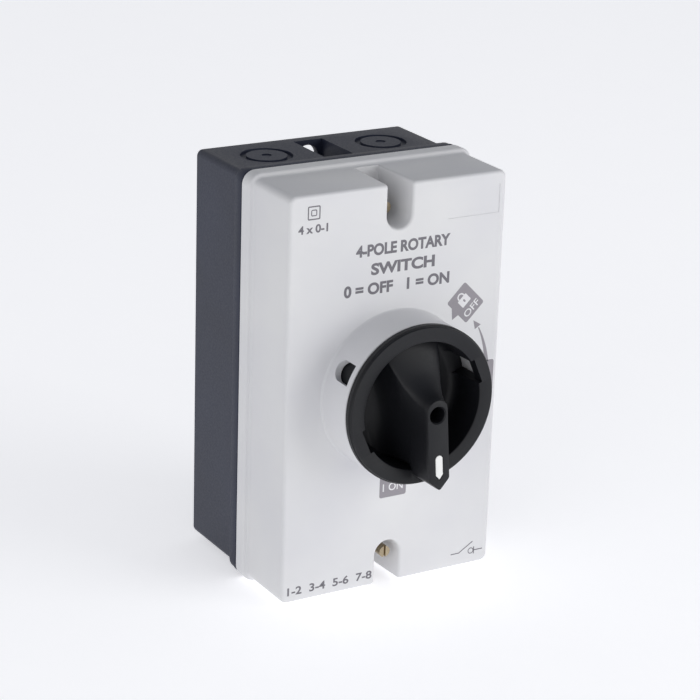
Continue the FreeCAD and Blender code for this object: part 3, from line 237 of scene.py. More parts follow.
# %% Starting clean, and going in and out of edit mode
def start_clean():
    """Leaves edit mode and deselects everything, so that an operator acts on the new piece alone."""
    if bpy.context.object is not None and bpy.context.object.mode != "OBJECT":
        bpy.ops.object.mode_set(mode="OBJECT")
    bpy.ops.object.select_all(action="DESELECT")


def select_where(test):
    """In edit mode, selects the vertices that pass the test, and what lies between them."""
    bpy.ops.mesh.select_mode(type="VERT")
    mesh = bmesh.from_edit_mesh(bpy.context.object.data)
    bpy.ops.mesh.select_all(action="DESELECT")
    for vertex in mesh.verts:
        vertex.select_set(bool(test(vertex.co)))
    mesh.select_flush_mode()
    bmesh.update_edit_mesh(bpy.context.object.data)


def settle(name):
    """Leaves edit mode, names the piece and applies its place to its mesh."""
    bpy.ops.object.mode_set(mode="OBJECT")
    piece = bpy.context.object
    piece.name = name
    bpy.ops.object.transform_apply(location=True, rotation=True, scale=True)
    return piece


# %% A solid from a pile of rounded rectangles
def pile(name, levels, steps=6):
    """Each level is (out of the wall, half width, half height, corner radius), in mm."""
    start_clean()
    depth, half_x, half_z, radius = levels[0]
    bpy.ops.mesh.primitive_plane_add(size=2, rotation=(math.pi / 2, 0, 0), location=front(0, 0, depth))
    bpy.context.object.scale = (half_x * MM, half_z * MM, 1)
    bpy.ops.object.transform_apply(location=True, rotation=True, scale=True)
    bpy.ops.object.mode_set(mode="EDIT")
    bpy.ops.mesh.select_all(action="SELECT")
    bpy.ops.mesh.bevel(offset=radius * MM, segments=steps, affect="VERTICES")
    for after in levels[1:]:
        bpy.ops.mesh.select_mode(type="FACE")
        bpy.ops.mesh.extrude_region_move(TRANSFORM_OT_translate={"value": front(0, 0, after[0] - depth)})
        mesh = bmesh.from_edit_mesh(bpy.context.object.data)
        end = {v.index for v in mesh.verts if v.select}
        for side in (1, -1):
            for top in (1, -1):
                mesh = bmesh.from_edit_mesh(bpy.context.object.data)
                mesh.verts.ensure_lookup_table()
                for vertex in mesh.verts:
                    in_corner = vertex.co.x * side > 0 and vertex.co.z * top > 0
                    vertex.select_set(vertex.index in end and in_corner)
                mesh.select_flush_mode()
                bmesh.update_edit_mesh(bpy.context.object.data)
                centre = front(side * (half_x - radius), top * (half_z - radius), after[0])
                ratio = after[3] / radius
                bpy.ops.transform.resize(value=(ratio, 1, ratio), center_override=centre)
                move = front(side * (after[1] - after[3]), top * (after[2] - after[3]), after[0]) - centre
                bpy.ops.transform.translate(value=move)
        mesh = bmesh.from_edit_mesh(bpy.context.object.data)
        for vertex in mesh.verts:
            vertex.select_set(vertex.index in end)
        mesh.select_flush_mode()
        bmesh.update_edit_mesh(bpy.context.object.data)
        depth, half_x, half_z, radius = after
    bpy.ops.mesh.select_all(action="SELECT")
    bpy.ops.mesh.normals_make_consistent(inside=False)
    return settle(name)


# %% [markdown]
# Round pieces are made the same way from a circle: extrude its edge, scale it, and go on along the profile,
# as a lathe tool would.

# %% A turned solid from its profile
def turned(name, profile, segments=96, at=(0, 0)):
    """Each profile point is (radius, out of the wall), in mm; it starts and ends on flat faces."""
    start_clean()
    radius, depth = profile[0]
    bpy.ops.mesh.primitive_circle_add(vertices=segments, radius=radius * MM, fill_type="NGON",
                                      rotation=(math.pi / 2, 0, 0), location=front(*at, depth))
    bpy.ops.object.transform_apply(location=True, rotation=True, scale=True)
    bpy.ops.object.mode_set(mode="EDIT")
    bpy.ops.mesh.select_mode(type="FACE")
    bpy.ops.mesh.select_all(action="SELECT")
    for next_radius, next_depth in profile[1:]:
        bpy.ops.mesh.extrude_region_move(TRANSFORM_OT_translate={"value": front(0, 0, next_depth - depth)})
        ratio = next_radius / radius
        bpy.ops.transform.resize(value=(ratio, 1, ratio), center_override=front(*at, next_depth))
        radius, depth = next_radius, next_depth
    bpy.ops.mesh.select_all(action="SELECT")
    bpy.ops.mesh.normals_make_consistent(inside=False)
    return settle(name)


# %% Joining to and cutting from a piece
def carve(piece, tool, operation):
    """Adds a tool to a piece, or cuts it out, and removes the tool."""
    start_clean()
    bpy.context.view_layer.objects.active = piece
    piece.select_set(True)
    bpy.ops.object.modifier_add(type="BOOLEAN")
    step = piece.modifiers[-1]
    step.operation = operation
    step.solver = "EXACT"
    step.object = tool
    bpy.ops.object.modifier_apply(modifier=step.name)
    bpy.data.objects.remove(tool)


def arc(x, y, radius, first, last, steps):
    """Points on an arc round (x, y), from one angle to another in degrees."""
    angles = [math.radians(first + (last - first) * n / steps) for n in range(steps + 1)]
    return [(x + radius * math.cos(a), y + radius * math.sin(a)) for a in angles]


def finish_piece(piece, material, body, slot, *nodes, angle=32):
    """Cleans the mesh, smooths it, gives it its material and ties it to its CAD body."""
    start_clean()
    bpy.context.view_layer.objects.active = piece
    piece.select_set(True)
    bpy.ops.object.mode_set(mode="EDIT")
    bpy.ops.mesh.select_all(action="SELECT")
    bpy.ops.mesh.remove_doubles(threshold=0.002 * MM)
    bpy.ops.mesh.normals_make_consistent(inside=False)
    bpy.ops.object.mode_set(mode="OBJECT")
    bpy.ops.object.shade_smooth_by_angle(angle=math.radians(angle))
    piece.data.materials.clear()
    piece.data.materials.append(material)
    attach(piece, body)
    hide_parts(*nodes)
    print(piece.name, "has", len(piece.data.polygons), "faces")
    return piece


# %% [markdown]
# ## The rear box
# The box is a deep tray that screws to the wall. Its outside swells into a two-step rim under the cover, and
# every edge has the small radius that lets a moulding leave its tool. The pile starts at the inside floor,
# comes out to the joint, turns over the rim and runs back down to the wall.

# %% Rear box: outside and inside in one pile
def rear_box():
    rim_x, rim_z, rim_r = 50.45, 85.75, 5.25
    wall_x, wall_z, wall_r = 48.15, 83.45, 2.6
    levels = [(3.0, 44.2, 79.5, 1.0), (3.6, 45.0, 80.3, 1.8), (5.0, 45.15, 80.45, 2.0),
              (43.5, 45.15, 80.45, 2.0), (43.5, rim_x - 0.5, rim_z - 0.5, rim_r - 0.5)]
    levels += [(43.0 + 0.5 * s, rim_x - 0.5 + 0.5 * c, rim_z - 0.5 + 0.5 * c, rim_r - 0.5 + 0.5 * c)
               for c, s in arc(0, 0, 1, 67, 0, 3)]
    levels += [(41.1, rim_x, rim_z, rim_r), (40.9, rim_x - 0.2, rim_z - 0.2, rim_r - 0.2),
               (40.85, rim_x - 0.35, rim_z - 0.35, rim_r - 0.35),
               (37.7, rim_x - 0.35, rim_z - 0.35, rim_r - 0.35),
               (37.2, rim_x - 0.55, rim_z - 0.55, rim_r - 0.55),
               (37.0, rim_x - 0.95, rim_z - 0.95, rim_r - 0.95),
               (36.8, wall_x + 0.6, wall_z + 0.6, wall_r + 0.9),
               (36.3, wall_x + 0.15, wall_z + 0.15, wall_r + 0.2),
               (35.6, wall_x, wall_z, wall_r), (1.4, wall_x, wall_z, wall_r)]
    levels += [(1.4 - 1.4 * s, wall_x - 1.4 + 1.4 * c, wall_z - 1.4 + 1.4 * c, wall_r - 1.4 + 1.4 * c)
               for c, s in arc(0, 0, 1, 22.5, 90, 3)]
    return pile("rear_box", levels)


box = rear_box()
print("rear box:", len(box.data.vertices), "vertices")

# %% [markdown]
# Behind each cover screw the box has a pocket, open at its end, for the screw that holds it to the wall. The
# pocket's walls also carry the threaded insert. They are added as a block and then hollowed.

# %% Pockets, wall holes and insert holes
def block(name, x, z, depth, half_x, half_z, deep, radius=0.5):
    """A block with small round corners, centred on x and z, that starts at a depth and runs forward."""
    piece = pile(name, [(depth, half_x, half_z, radius), (depth + deep, half_x, half_z, radius)], steps=3)
    piece.data.transform(Matrix.Translation(front(x, z, 0)))
    return piece


screw_z, wall_hole_z, end_wall_z = 71.5, 76.4, 83.45
for end in (1, -1):
    carve(box, block("pocket walls", 0, end * 73.2, 1.5, 9.3, 8.75, 42.0), "UNION")
for end in (1, -1):
    at_screw, at_wall_hole = (0, end * screw_z), (0, end * wall_hole_z)
    carve(box, block("pocket", 0, end * end_wall_z, 5.8, 6.7, 16.0, 27.6), "DIFFERENCE")
    carve(box, block("relief", *at_wall_hole, -1.0, 9.0, 6.5, 3.8, 2.6), "DIFFERENCE")
    carve(box, turned("wall hole", [(4.9, -1.0), (4.9, 5.5), (5.4, 6.4)], 40, at_wall_hole), "DIFFERENCE")
    carve(box, turned("insert hole", [(2.92, 35.5), (2.92, 44.5)], 40, at_screw), "DIFFERENCE")
    carve(box, turned("screw way", [(2.2, 32.0), (2.2, 36.5)], 32, at_screw), "DIFFERENCE")
print("box with pockets:", len(box.data.polygons), "faces")

# %% [markdown]
# Four conduit knockouts are marked out by a deep ring groove, with a dimple where the drill is set down. The
# groove is cut with a ring-shaped tool that is turned and laid over, so that it stands out of the end wall.

# %% Posts for the rail, and the knockouts
def lie_over(piece, x, z, depth, end):
    """Lays a piece turned on the wall's axis over, so that it points out of the top or bottom wall."""
    lean = Matrix.Rotation(math.radians(90 * end), 4, "X")
    piece.data.transform(Matrix.Translation(front(x, z, depth)) @ lean)
    return piece


post_x, knockout_x, knockout_depth = 33.0, 26.5, 19.6
for hand in (1, -1):
    at_post = (hand * post_x, 0)
    carve(box, turned("post", [(4.6, 2.0), (4.6, 8.7), (4.3, 9.0)], 48, at_post), "UNION")
    carve(box, turned("post hole", [(1.8, 2.0), (1.8, 10.0)], 24, at_post), "DIFFERENCE")
for end in (1, -1):
    for hand in (1, -1):
        knockout = (hand * knockout_x, end * end_wall_z, knockout_depth, end)
        groove = turned("groove", [(8.6, -1.6), (10.4, -1.6), (10.4, -0.3), (10.7, 0.0), (10.7, 1.0),
                                   (8.3, 1.0), (8.3, 0.0), (8.6, -0.3), (8.6, -1.6)], 72)
        start_clean()
        bpy.context.view_layer.objects.active = groove
        groove.select_set(True)
        bpy.ops.object.mode_set(mode="EDIT")
        bpy.ops.mesh.select_mode(type="FACE")
        bpy.ops.mesh.select_all(action="DESELECT")
        bpy.ops.mesh.select_face_by_sides(number=4, type="GREATER")
        bpy.ops.mesh.delete(type="ONLY_FACE")
        bpy.ops.mesh.select_all(action="SELECT")
        bpy.ops.mesh.remove_doubles(threshold=0.001 * MM)
        bpy.ops.mesh.normals_make_consistent(inside=False)
        bpy.ops.object.mode_set(mode="OBJECT")
        carve(box, lie_over(groove, *knockout), "DIFFERENCE")
        dimple = turned("dimple", [(1.4, -0.8), (1.9, -0.6), (2.2, 0.4)], 32)
        carve(box, lie_over(dimple, *knockout), "DIFFERENCE")
finish_piece(box, box_grey, "enclosure", "enclosure_plastic", "rear_enclosure")

# %% [markdown]
# ## The cover
# The cover is a flange with a raised box on it. Between the two runs a soft S-shaped step, which is only
# possible because each level of the pile has its own corner. Again the pile starts on the inside.

# %% Cover: inside, flange, step and raised front
def cover_shell():
    flange_x, flange_z, flange_r = 50.8, 86.1, 5.6
    face_x, face_z, face_r = 48.9, 84.2, 3.2
    levels = [(76.9, 45.5, 80.8, 0.6), (76.3, 46.15, 81.45, 1.2), (75.0, 46.3, 81.6, 1.4),
              (44.3, 46.3, 81.6, 1.4), (44.3, flange_x - 0.5, flange_z - 0.5, flange_r - 0.5)]
    levels += [(44.8 - 0.5 * s, flange_x - 0.5 + 0.5 * c, flange_z - 0.5 + 0.5 * c, flange_r - 0.5 + 0.5 * c)
               for c, s in arc(0, 0, 1, 60, 0, 2)]
    levels += [(49.7 + 1.15 * s, flange_x - 1.15 + 1.15 * c, flange_z - 1.15 + 1.15 * c,
                flange_r - 1.6 * (1 - c)) for c, s in arc(0, 0, 1, 0, 80, 5)]
    levels += [(51.1, face_x + 0.5, face_z + 0.5, 3.9), (51.5, face_x + 0.24, face_z + 0.24, 3.6),
               (52.1, face_x + 0.08, face_z + 0.08, 3.3), (53.0, face_x, face_z, face_r),
               (77.9, face_x, face_z, face_r)]
    levels += [(77.9 + 1.6 * s, face_x - 1.6 + 1.6 * c, face_z - 1.6 + 1.6 * c, face_r - 1.6 + 1.6 * c)
               for c, s in arc(0, 0, 1, 18, 90, 4)]
    return pile("cover", levels, steps=8)


cover = cover_shell()
print("cover shell:", len(cover.data.vertices), "vertices")

# %% [markdown]
# A notch, open at its end, runs down to each cover screw. Its walls are a second skin inside the cover, so a
# round-ended block is added first and a smaller one cut out of it. Its mouth is rounded with the bevel
# operator, on the edges where the notch meets the front and the end of the cover.

# %% Round-ended blocks for the notches
def tongue(name, end, radius, low, high, depth, deep):
    """A block with one round end, at the height low, that runs to the height high."""
    start_clean()
    bpy.ops.mesh.primitive_circle_add(vertices=48, radius=radius * MM, fill_type="NGON",
                                      rotation=(math.pi / 2, 0, 0), location=front(0, end * low, depth))
    bpy.ops.object.transform_apply(location=True, rotation=True, scale=True)
    bpy.ops.object.mode_set(mode="EDIT")
    select_where(lambda co: co.z * end > (low + 0.01) * MM)
    bpy.ops.mesh.dissolve_verts()
    select_where(lambda co: abs(co.z * end - low * MM) < 0.02 * MM and abs(co.x) > 0.99 * radius * MM)
    bpy.ops.mesh.select_mode(type="EDGE")
    bpy.ops.mesh.extrude_edges_move(TRANSFORM_OT_translate={"value": front(0, end * (high - low), 0)})
    bpy.ops.mesh.select_all(action="SELECT")
    bpy.ops.mesh.dissolve_limited(angle_limit=math.radians(0.5))
    bpy.ops.mesh.select_all(action="SELECT")
    bpy.ops.mesh.select_mode(type="FACE")
    bpy.ops.mesh.extrude_region_move(TRANSFORM_OT_translate={"value": front(0, 0, deep)})
    bpy.ops.mesh.select_all(action="SELECT")
    bpy.ops.mesh.normals_make_consistent(inside=False)
    return settle(name)


notch_radius, notch_wall_radius, notch_floor = 5.65, 8.05, 53.0


def on_notch_wall(co):
    """True for a point on the upright wall of either notch."""
    beyond = max(0.0, abs(co.z) - screw_z * MM)
    from_middle = abs(co.x) if beyond else math.hypot(co.x, abs(co.z) - screw_z * MM)
    return abs(from_middle - notch_radius * MM) < 0.06 * MM and abs(co.z) > 65 * MM


def round_notch_mouths(piece, radius):
    """Rounds the sharp edges where the notch walls meet the front and the ends."""
    start_clean()
    bpy.context.view_layer.objects.active = piece
    piece.select_set(True)
    bpy.ops.object.mode_set(mode="EDIT")
    bpy.ops.mesh.select_mode(type="EDGE")
    bpy.ops.mesh.select_all(action="DESELECT")
    mesh = bmesh.from_edit_mesh(piece.data)
    count = 0
    for edge in mesh.edges:
        ends = [v.co for v in edge.verts]
        above_floor = any(co.y < -(notch_floor + 0.1) * MM for co in ends)
        if above_floor and all(on_notch_wall(co) for co in ends) and edge.calc_face_angle(0) > 0.9:
            edge.select_set(True)
            count += 1
    bmesh.update_edit_mesh(piece.data)
    bpy.ops.mesh.bevel(offset=radius * MM, segments=4, affect="EDGES", clamp_overlap=False)
    bpy.ops.object.mode_set(mode="OBJECT")
    print("rounded edges at the notch mouths:", count)


for end in (1, -1):
    carve(cover, tongue("notch walls", end, notch_wall_radius, screw_z, 83.0, 44.3, 34.0), "UNION")
for end in (1, -1):
    carve(cover, tongue("notch", end, notch_radius, screw_z, 95.0, notch_floor, 40.0), "DIFFERENCE")
round_notch_mouths(cover, 1.2)
for end in (1, -1):
    at_screw = (0, end * screw_z)
    carve(cover, turned("screw hole", [(2.2, 43.0), (2.2, 54.0)], 32, at_screw), "DIFFERENCE")
    carve(cover, turned("seal seat", [(4.02, 43.0), (4.02, 46.36)], 40, at_screw), "DIFFERENCE")
print("cover with notches:", len(cover.data.polygons), "faces")

# %% [markdown]
# The collar that guards the handle is turned, with a small radius on its rim and a fillet at its foot. The
# two padlock holes are cut from the side: square at the front and round at the back, as the shackle pulls
# them.

# %% Collar, padlock holes, hub hole, gasket groove and the recess for a name plate
collar_profile = [(34.3, 77.5), (34.3, 79.5), (33.4, 79.75), (33.0, 80.3), (32.8, 81.2), (32.8, 96.9)]
collar_profile += [(r, d) for r, d in arc(32.2, 96.9, 0.6, 20, 90, 3)]
collar_profile += [(r, d) for r, d in arc(30.3, 97.1, 0.4, 90, 180, 3)]
collar_profile += [(29.9, 77.5)]
carve(cover, turned("collar", collar_profile, 128), "UNION")
carve(cover, turned("collar inside", [(29.9, 79.5), (29.9, 99.0)], 128), "DIFFERENCE")
carve(cover, turned("hub hole", [(8.98, 70.0), (8.98, 90.0)], 64), "DIFFERENCE")
padlock_front, padlock_depth, padlock_radius, padlock_angle = 94.9, 6.45, 4.35, 152.75
for half in (0, 180):
    hole = tongue("padlock hole", 1, padlock_radius, 0.0, padlock_depth, 22.0, 18.0)
    on_its_side = Matrix(((0, -1, 0, 0), (0, 0, -1, 0), (1, 0, 0, 0), (0, 0, 0, 1)))
    turn = Matrix.Rotation(math.radians(-(padlock_angle + half)), 4, "Y")
    hole.data.transform(turn @ Matrix.Translation(front(0, 0, padlock_front - padlock_depth)) @ on_its_side)
    carve(cover, hole, "DIFFERENCE")
carve(cover, block("name plate seat", 33.9, 73.0, 79.3, 12.0, 5.9, 1.0, 0.3), "DIFFERENCE")
groove = pile("gasket groove", [(43.0, 49.5, 84.8, 4.3), (46.3, 49.5, 84.8, 4.3)])
carve(groove, pile("groove middle", [(42.0, 47.3, 82.6, 2.1), (47.0, 47.3, 82.6, 2.1)]), "DIFFERENCE")
carve(cover, groove, "DIFFERENCE")
finish_piece(cover, cover_grey, "cover", "cover_plastic", "front_cover")

# %% [markdown]
# ## The handle
# The handle is one black moulding: a deep bowl with a flat ring round it, and a grip that stands across the
# bowl. The bowl is turned. The grip is made from the front backwards: it starts as the narrow flat strip
# that the fingers feel, with a round nose and a pointed beak. Each level behind it is a little wider, so
# that the flanks flare out into the bowl. The nose widens more than the flanks and slides up, and so becomes
# a saddle that meets the bowl's wall under the ring.

# %% Bowl and ring
rest_angle, window_angle = 4.5, 18.9
rest_turn = Matrix.Rotation(math.radians(-rest_angle), 4, "Y")
bowl_profile = [(28.8, 81.5), (29.4, 82.1), (29.4, 97.8), (32.4, 97.8), (32.8, 98.2), (32.8, 100.1),
                (32.35, 100.4), (32.3, 101.1), (32.0, 101.5), (26.6, 101.5), (26.3, 101.3), (26.2, 101.0),
                (25.9, 90.0)]
bowl_profile += [(r, d) for r, d in arc(21.9, 88.1, 4.0, 0, -90, 6)][1:]
handle = turned("handle", bowl_profile, 128)
print("bowl:", len(handle.data.polygons), "faces")


# %% Grip
def grip():
    """Each level: distance from the wall, half width of the flanks, half width at the nose, nose, tip."""
    levels = [(112.5, 4.25, 4.25, 5.85, 31.5), (112.42, 4.45, 4.45, 6.05, 31.8),
              (112.1, 4.6, 4.6, 6.2, 32.0), (110.0, 4.7, 4.95, 6.9, 32.1),
              (108.0, 4.85, 5.5, 7.7, 32.15), (106.0, 5.05, 6.2, 8.9, 32.2),
              (104.0, 5.3, 7.0, 10.6, 32.2), (102.2, 5.55, 7.8, 12.5, 32.1), (101.3, 5.7, 8.3, 13.6, 31.9),
              (100.2, 5.85, 8.9, 15.1, 29.0), (98.8, 6.1, 9.6, 17.3, 28.0), (97.2, 6.4, 10.4, 20.0, 28.0),
              (95.6, 6.8, 11.3, 23.0, 28.0), (94.0, 7.2, 12.2, 26.2, 28.0), (93.0, 7.5, 12.8, 28.2, 28.0),
              (90.0, 8.3, 14.0, 28.2, 28.0), (87.5, 9.4, 15.3, 28.2, 27.8), (86.0, 10.9, 16.6, 28.0, 27.5),
              (85.0, 13.0, 18.2, 27.5, 27.0), (84.3, 16.0, 20.0, 27.0, 26.5), (83.5, 19.0, 21.0, 26.0, 26.0),
              (82.5, 19.0, 21.0, 26.0, 26.0)]
    start_clean()
    depth, half, nose_half, nose, tip = levels[0]
    bpy.ops.mesh.primitive_circle_add(vertices=32, radius=half * MM, fill_type="NGON",
                                      rotation=(math.pi / 2, 0, 0), location=front(0, nose - half, depth))
    bpy.ops.object.transform_apply(location=True, rotation=True, scale=True)
    bpy.ops.object.mode_set(mode="EDIT")
    middle = (nose - half) * MM
    select_where(lambda co: middle - 0.01 * MM > co.z > middle - 0.99 * half * MM)
    bpy.ops.mesh.dissolve_verts()
    select_where(lambda co: co.z < middle - 0.5 * half * MM)
    bpy.ops.transform.translate(value=front(0, -(tip - half) - (nose - half), 0))
    beak = 4.4
    shoulder = tip - beak
    bpy.ops.mesh.select_all(action="SELECT")
    bpy.ops.mesh.bisect(plane_co=front(0, -shoulder, 0), plane_no=(0, 0, 1), use_fill=False)
    select_where(lambda co: abs(co.z + shoulder * MM) < 0.02 * MM)
    wide = max(abs(v.co.x) for v in bmesh.from_edit_mesh(bpy.context.object.data).verts if v.select)
    bpy.ops.transform.resize(value=(half * MM / wide, 1, 1), center_override=front(0, -shoulder, depth))
    bpy.ops.mesh.select_all(action="SELECT")
    bpy.ops.mesh.dissolve_limited(angle_limit=math.radians(0.2))
    select_where(lambda co: co.z < -(shoulder - 0.5) * MM)
    bpy.ops.mesh.bevel(offset=0.7 * MM, segments=3, affect="VERTICES")
    for waist in (-3.0, -8.0):
        bpy.ops.mesh.select_all(action="SELECT")
        bpy.ops.mesh.bisect(plane_co=front(0, waist, 0), plane_no=(0, 0, 1), use_fill=False)
    for next_depth, next_half, next_nose_half, next_nose, next_tip in levels[1:]:
        select_where(lambda co: abs(co.y + depth * MM) < HAIR)
        bpy.ops.mesh.extrude_region_move(TRANSFORM_OT_translate={"value": front(0, 0, next_depth - depth)})
        select_where(lambda co: abs(co.y + next_depth * MM) < HAIR and co.z < -2 * MM)
        bpy.ops.transform.resize(value=(next_half / half, 1, 1), center_override=front(0, 0, next_depth))
        select_where(lambda co: abs(co.y + next_depth * MM) < HAIR and co.z > -2 * MM)
        bpy.ops.transform.resize(value=(next_nose_half / nose_half, 1, 1),
                                 center_override=front(0, 0, next_depth))
        bpy.ops.transform.translate(value=front(0, next_nose - nose, 0))
        select_where(lambda co: abs(co.y + next_depth * MM) < HAIR and co.z < -12 * MM)
        bpy.ops.transform.translate(value=front(0, tip - next_tip, 0))
        depth, half, nose_half, nose, tip = next_depth, next_half, next_nose_half, next_nose, next_tip
    bpy.ops.mesh.select_all(action="SELECT")
    bpy.ops.mesh.normals_make_consistent(inside=False)
    return settle("grip")


carve(handle, grip(), "UNION")
print("bowl and grip:", len(handle.data.polygons), "faces")

# %% [markdown]
# The holes come last: the well for the handle screw, the seat for the drive hub behind it, a padlock window
# on each side of the bowl, and the shallow seat of the white mark.

# %% Holes in the handle
carve(handle, turned("hub seat", [(8.96, 80.0), (8.96, 85.5)], 64), "DIFFERENCE")
carve(handle, turned("screw hole", [(2.12, 84.0), (2.12, 92.0)], 32), "DIFFERENCE")
screw_well = turned("screw well", [(3.35, 91.0), (3.35, 112.0), (3.65, 112.3), (4.0, 113.0)], 48)
carve(handle, screw_well, "DIFFERENCE")
for half in (0, 180):
    window = block("window", 26.2, 0, 84.6, 4.3, 5.35, 11.8, 0.4)
    lip = block("lip", 23.3, 0, 96.0, 4.0, 5.35, 8.0, 0.4)
    for tool in (window, lip):
        tool.data.transform(Matrix.Rotation(math.radians(-(window_angle + half)), 4, "Y"))
        carve(handle, tool, "DIFFERENCE")


def mark_shape(name, half, top, bottom, rear, front_edge, soften):
    """A slim bar with a round top and a pointed bottom, with its front edge softened."""
    start_clean()
    bpy.ops.mesh.primitive_circle_add(vertices=24, radius=half * MM, fill_type="NGON",
                                      rotation=(math.pi / 2, 0, 0), location=front(0, -top - half, rear))
    bpy.ops.object.transform_apply(location=True, rotation=True, scale=True)
    bpy.ops.object.mode_set(mode="EDIT")
    middle = -(top + half) * MM
    select_where(lambda co: co.z < middle - 0.01 * MM and abs(co.x) > 0.01 * MM)
    bpy.ops.mesh.dissolve_verts()
    select_where(lambda co: co.z < middle - 0.5 * half * MM)
    bpy.ops.transform.translate(value=front(0, -(bottom - top) + 2 * half, 0))
    bpy.ops.mesh.select_all(action="SELECT")
    bpy.ops.mesh.bisect(plane_co=front(0, -(bottom - 1.2 * half), 0), plane_no=(0, 0, 1))
    select_where(lambda co: middle - 0.01 * MM > co.z > -(bottom - 0.1 * half) * MM)
    wide = max(abs(v.co.x) for v in bmesh.from_edit_mesh(bpy.context.object.data).verts if v.select)
    bpy.ops.transform.resize(value=(half * MM / wide, 1, 1), center_override=front(0, 0, rear))
    bpy.ops.mesh.select_mode(type="FACE")
    bpy.ops.mesh.select_all(action="SELECT")
    bpy.ops.mesh.extrude_region_move(TRANSFORM_OT_translate={"value": front(0, 0, front_edge - rear)})
    if soften:
        bpy.ops.mesh.bevel(offset=soften * MM, segments=3, affect="EDGES")
    bpy.ops.mesh.select_all(action="SELECT")
    bpy.ops.mesh.normals_make_consistent(inside=False)
    return settle(name)


carve(handle, mark_shape("mark seat", 1.75, 16.8, 27.4, 111.3, 113.0, 0), "DIFFERENCE")
handle.data.transform(rest_turn)
finish_piece(handle, handle_black, "handle", "handle_plastic", "handle_knob", angle=38)
mark = mark_shape("mark", 1.62, 16.93, 27.15, 111.3, 112.48, 0.25)
mark.data.transform(rest_turn)
finish_piece(mark, mark_white, "handle", "mark_plastic", "handle_mark")

# %% [markdown]
# ## Printing on the cover
# The legends are pad printed in grey ink. Printing is thin, but it is real: each mark is a sheet of ink a
# few hundredths of a millimetre thick. Words start as text objects with the built-in letters, made a little
# heavier, and are turned into meshes. Only general words and signs are used: on, off, 0 and 1, the sign for
# double insulation and the sign for a switch.

# %% Inks
def pad_print_ink(name, pale, dark):
    """Ink with the fine pinholes that a silicone pad leaves, about 0.3 mm apart."""
    material = bpy.data.materials.new(name)
    material.use_nodes = True
    tree = material.node_tree
    shader = tree.nodes["Principled BSDF"]
    place = add_node(tree, "TexCoord").outputs["Object"]
    pinholes = add_node(tree, "TexNoise", {"Scale": per_mm(0.3), "Detail": 2.0}, {"Vector": place})
    film = add_node(tree, "MixRGB", {"Color1": colour(pale), "Color2": colour(dark)},
                    {"Fac": pinholes.outputs["Fac"]})
    tree.links.new(film.outputs["Color"], shader.inputs["Base Color"])
    gloss = add_node(tree, "MapRange", {"To Min": 0.4, "To Max": 0.6}, {"Value": pinholes.outputs["Fac"]})
    tree.links.new(gloss.outputs["Result"], shader.inputs["Roughness"])
    return material


label_ink = pad_print_ink("grey pad-printed ink, solid areas", "#98949a", "#8c888e")
text_ink = pad_print_ink("grey pad-printed ink, letters", "#75737a", "#69676d")
white_ink = pad_print_ink("white pad-printed ink", "#e9e8ea", "#dfdee1")
FACE = 79.5
FILM = 0.03


# %% Words
def words(text, x, z, high, wide=None, turn=0.0, layer=1, heavy=0.04):
    """Words with a cap height in mm, centred on x and z; wide squeezes or stretches them to a width."""
    start_clean()
    bpy.ops.object.text_add()
    letters = bpy.context.object
    letters.data.body = text
    letters.data.offset = heavy
    letters.data.resolution_u = 6
    letters.data.extrude = 0.5
    bpy.ops.object.convert(target="MESH")
    letters = bpy.context.object
    xs = [v.co.x for v in letters.data.vertices]
    ys = [v.co.y for v in letters.data.vertices]
    tall = max(ys) - min(ys)
    up_scale = high * MM / tall
    across_scale = wide * MM / (max(xs) - min(xs)) if wide else up_scale
    letters.data.transform(Matrix.Translation((-(max(xs) + min(xs)) / 2, -(max(ys) + min(ys)) / 2, 0)))
    letters.data.transform(Matrix.Diagonal((across_scale, up_scale, FILM * MM, 1)))
    stand = Matrix.Rotation(math.radians(90), 4, "X")
    lean = Matrix.Rotation(math.radians(-turn), 4, "Y")
    letters.data.transform(Matrix.Translation(front(x, z, FACE + FILM * (layer - 0.5))) @ lean @ stand)
    return letters


def printed(name, ink, parts, body="cover"):
    """Joins printed parts to one piece of ink on the cover."""
    start_clean()
    for part in parts:
        part.select_set(True)
    bpy.context.view_layer.objects.active = parts[0]
    if len(parts) > 1:
        bpy.ops.object.join()
    piece = bpy.context.object
    piece.name = name
    piece.data.materials.clear()
    piece.data.materials.append(ink)
    for face in piece.data.polygons:
        face.material_index = 0
    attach(piece, body)
    print(name, "has", len(piece.data.polygons), "faces")
    return piece


title = [words("4-POLE ROTARY", 2.1, 58.9, 4.9, 42.9), words("SWITCH", 2.2, 51.0, 4.9, 29.0),
         words("0 = OFF   1 = ON", -0.2, 43.2, 4.9, 48.1)]
printed("title_print", text_ink, title)
printed("terminal_print", text_ink, [words("1-2  3-4  5-6  7-8", -26.6, -79.2, 3.6, 39.0, heavy=0.022)])
printed("pole_print", text_ink, [words("4 x 0-1", -38.6, 70.7, 3.4, 13.0, heavy=0.028)])

# %% [markdown]
# The labels round the handle show where it points: on, off, and off with a padlock in it. Each is a rounded
# plate of ink with a tail like a speech bubble, and white signs on top. The arrow is an arc about the
# handle's axis: an edge is extruded and turned a few degrees at a time, and made shorter each time, so that
# the stroke tapers.

# %% Plates, bars and bands of ink
def plate(x, z, half_x, half_z, radius, turn=0.0, layer=1):
    piece = pile("plate", [(0.0, half_x, half_z, radius), (FILM, half_x, half_z, radius)], steps=4)
    lean = Matrix.Rotation(math.radians(-turn), 4, "Y")
    piece.data.transform(Matrix.Translation(front(x, z, FACE + FILM * (layer - 1))) @ lean)
    return piece


def stroke(x1, z1, x2, z2, wide, layer=1):
    """A straight line of ink between two points."""
    long = math.hypot(x2 - x1, z2 - z1)
    turn = math.degrees(math.atan2(z2 - z1, x2 - x1))
    return plate((x1 + x2) / 2, (z1 + z2) / 2, long / 2, wide / 2, wide / 5, turn, layer)


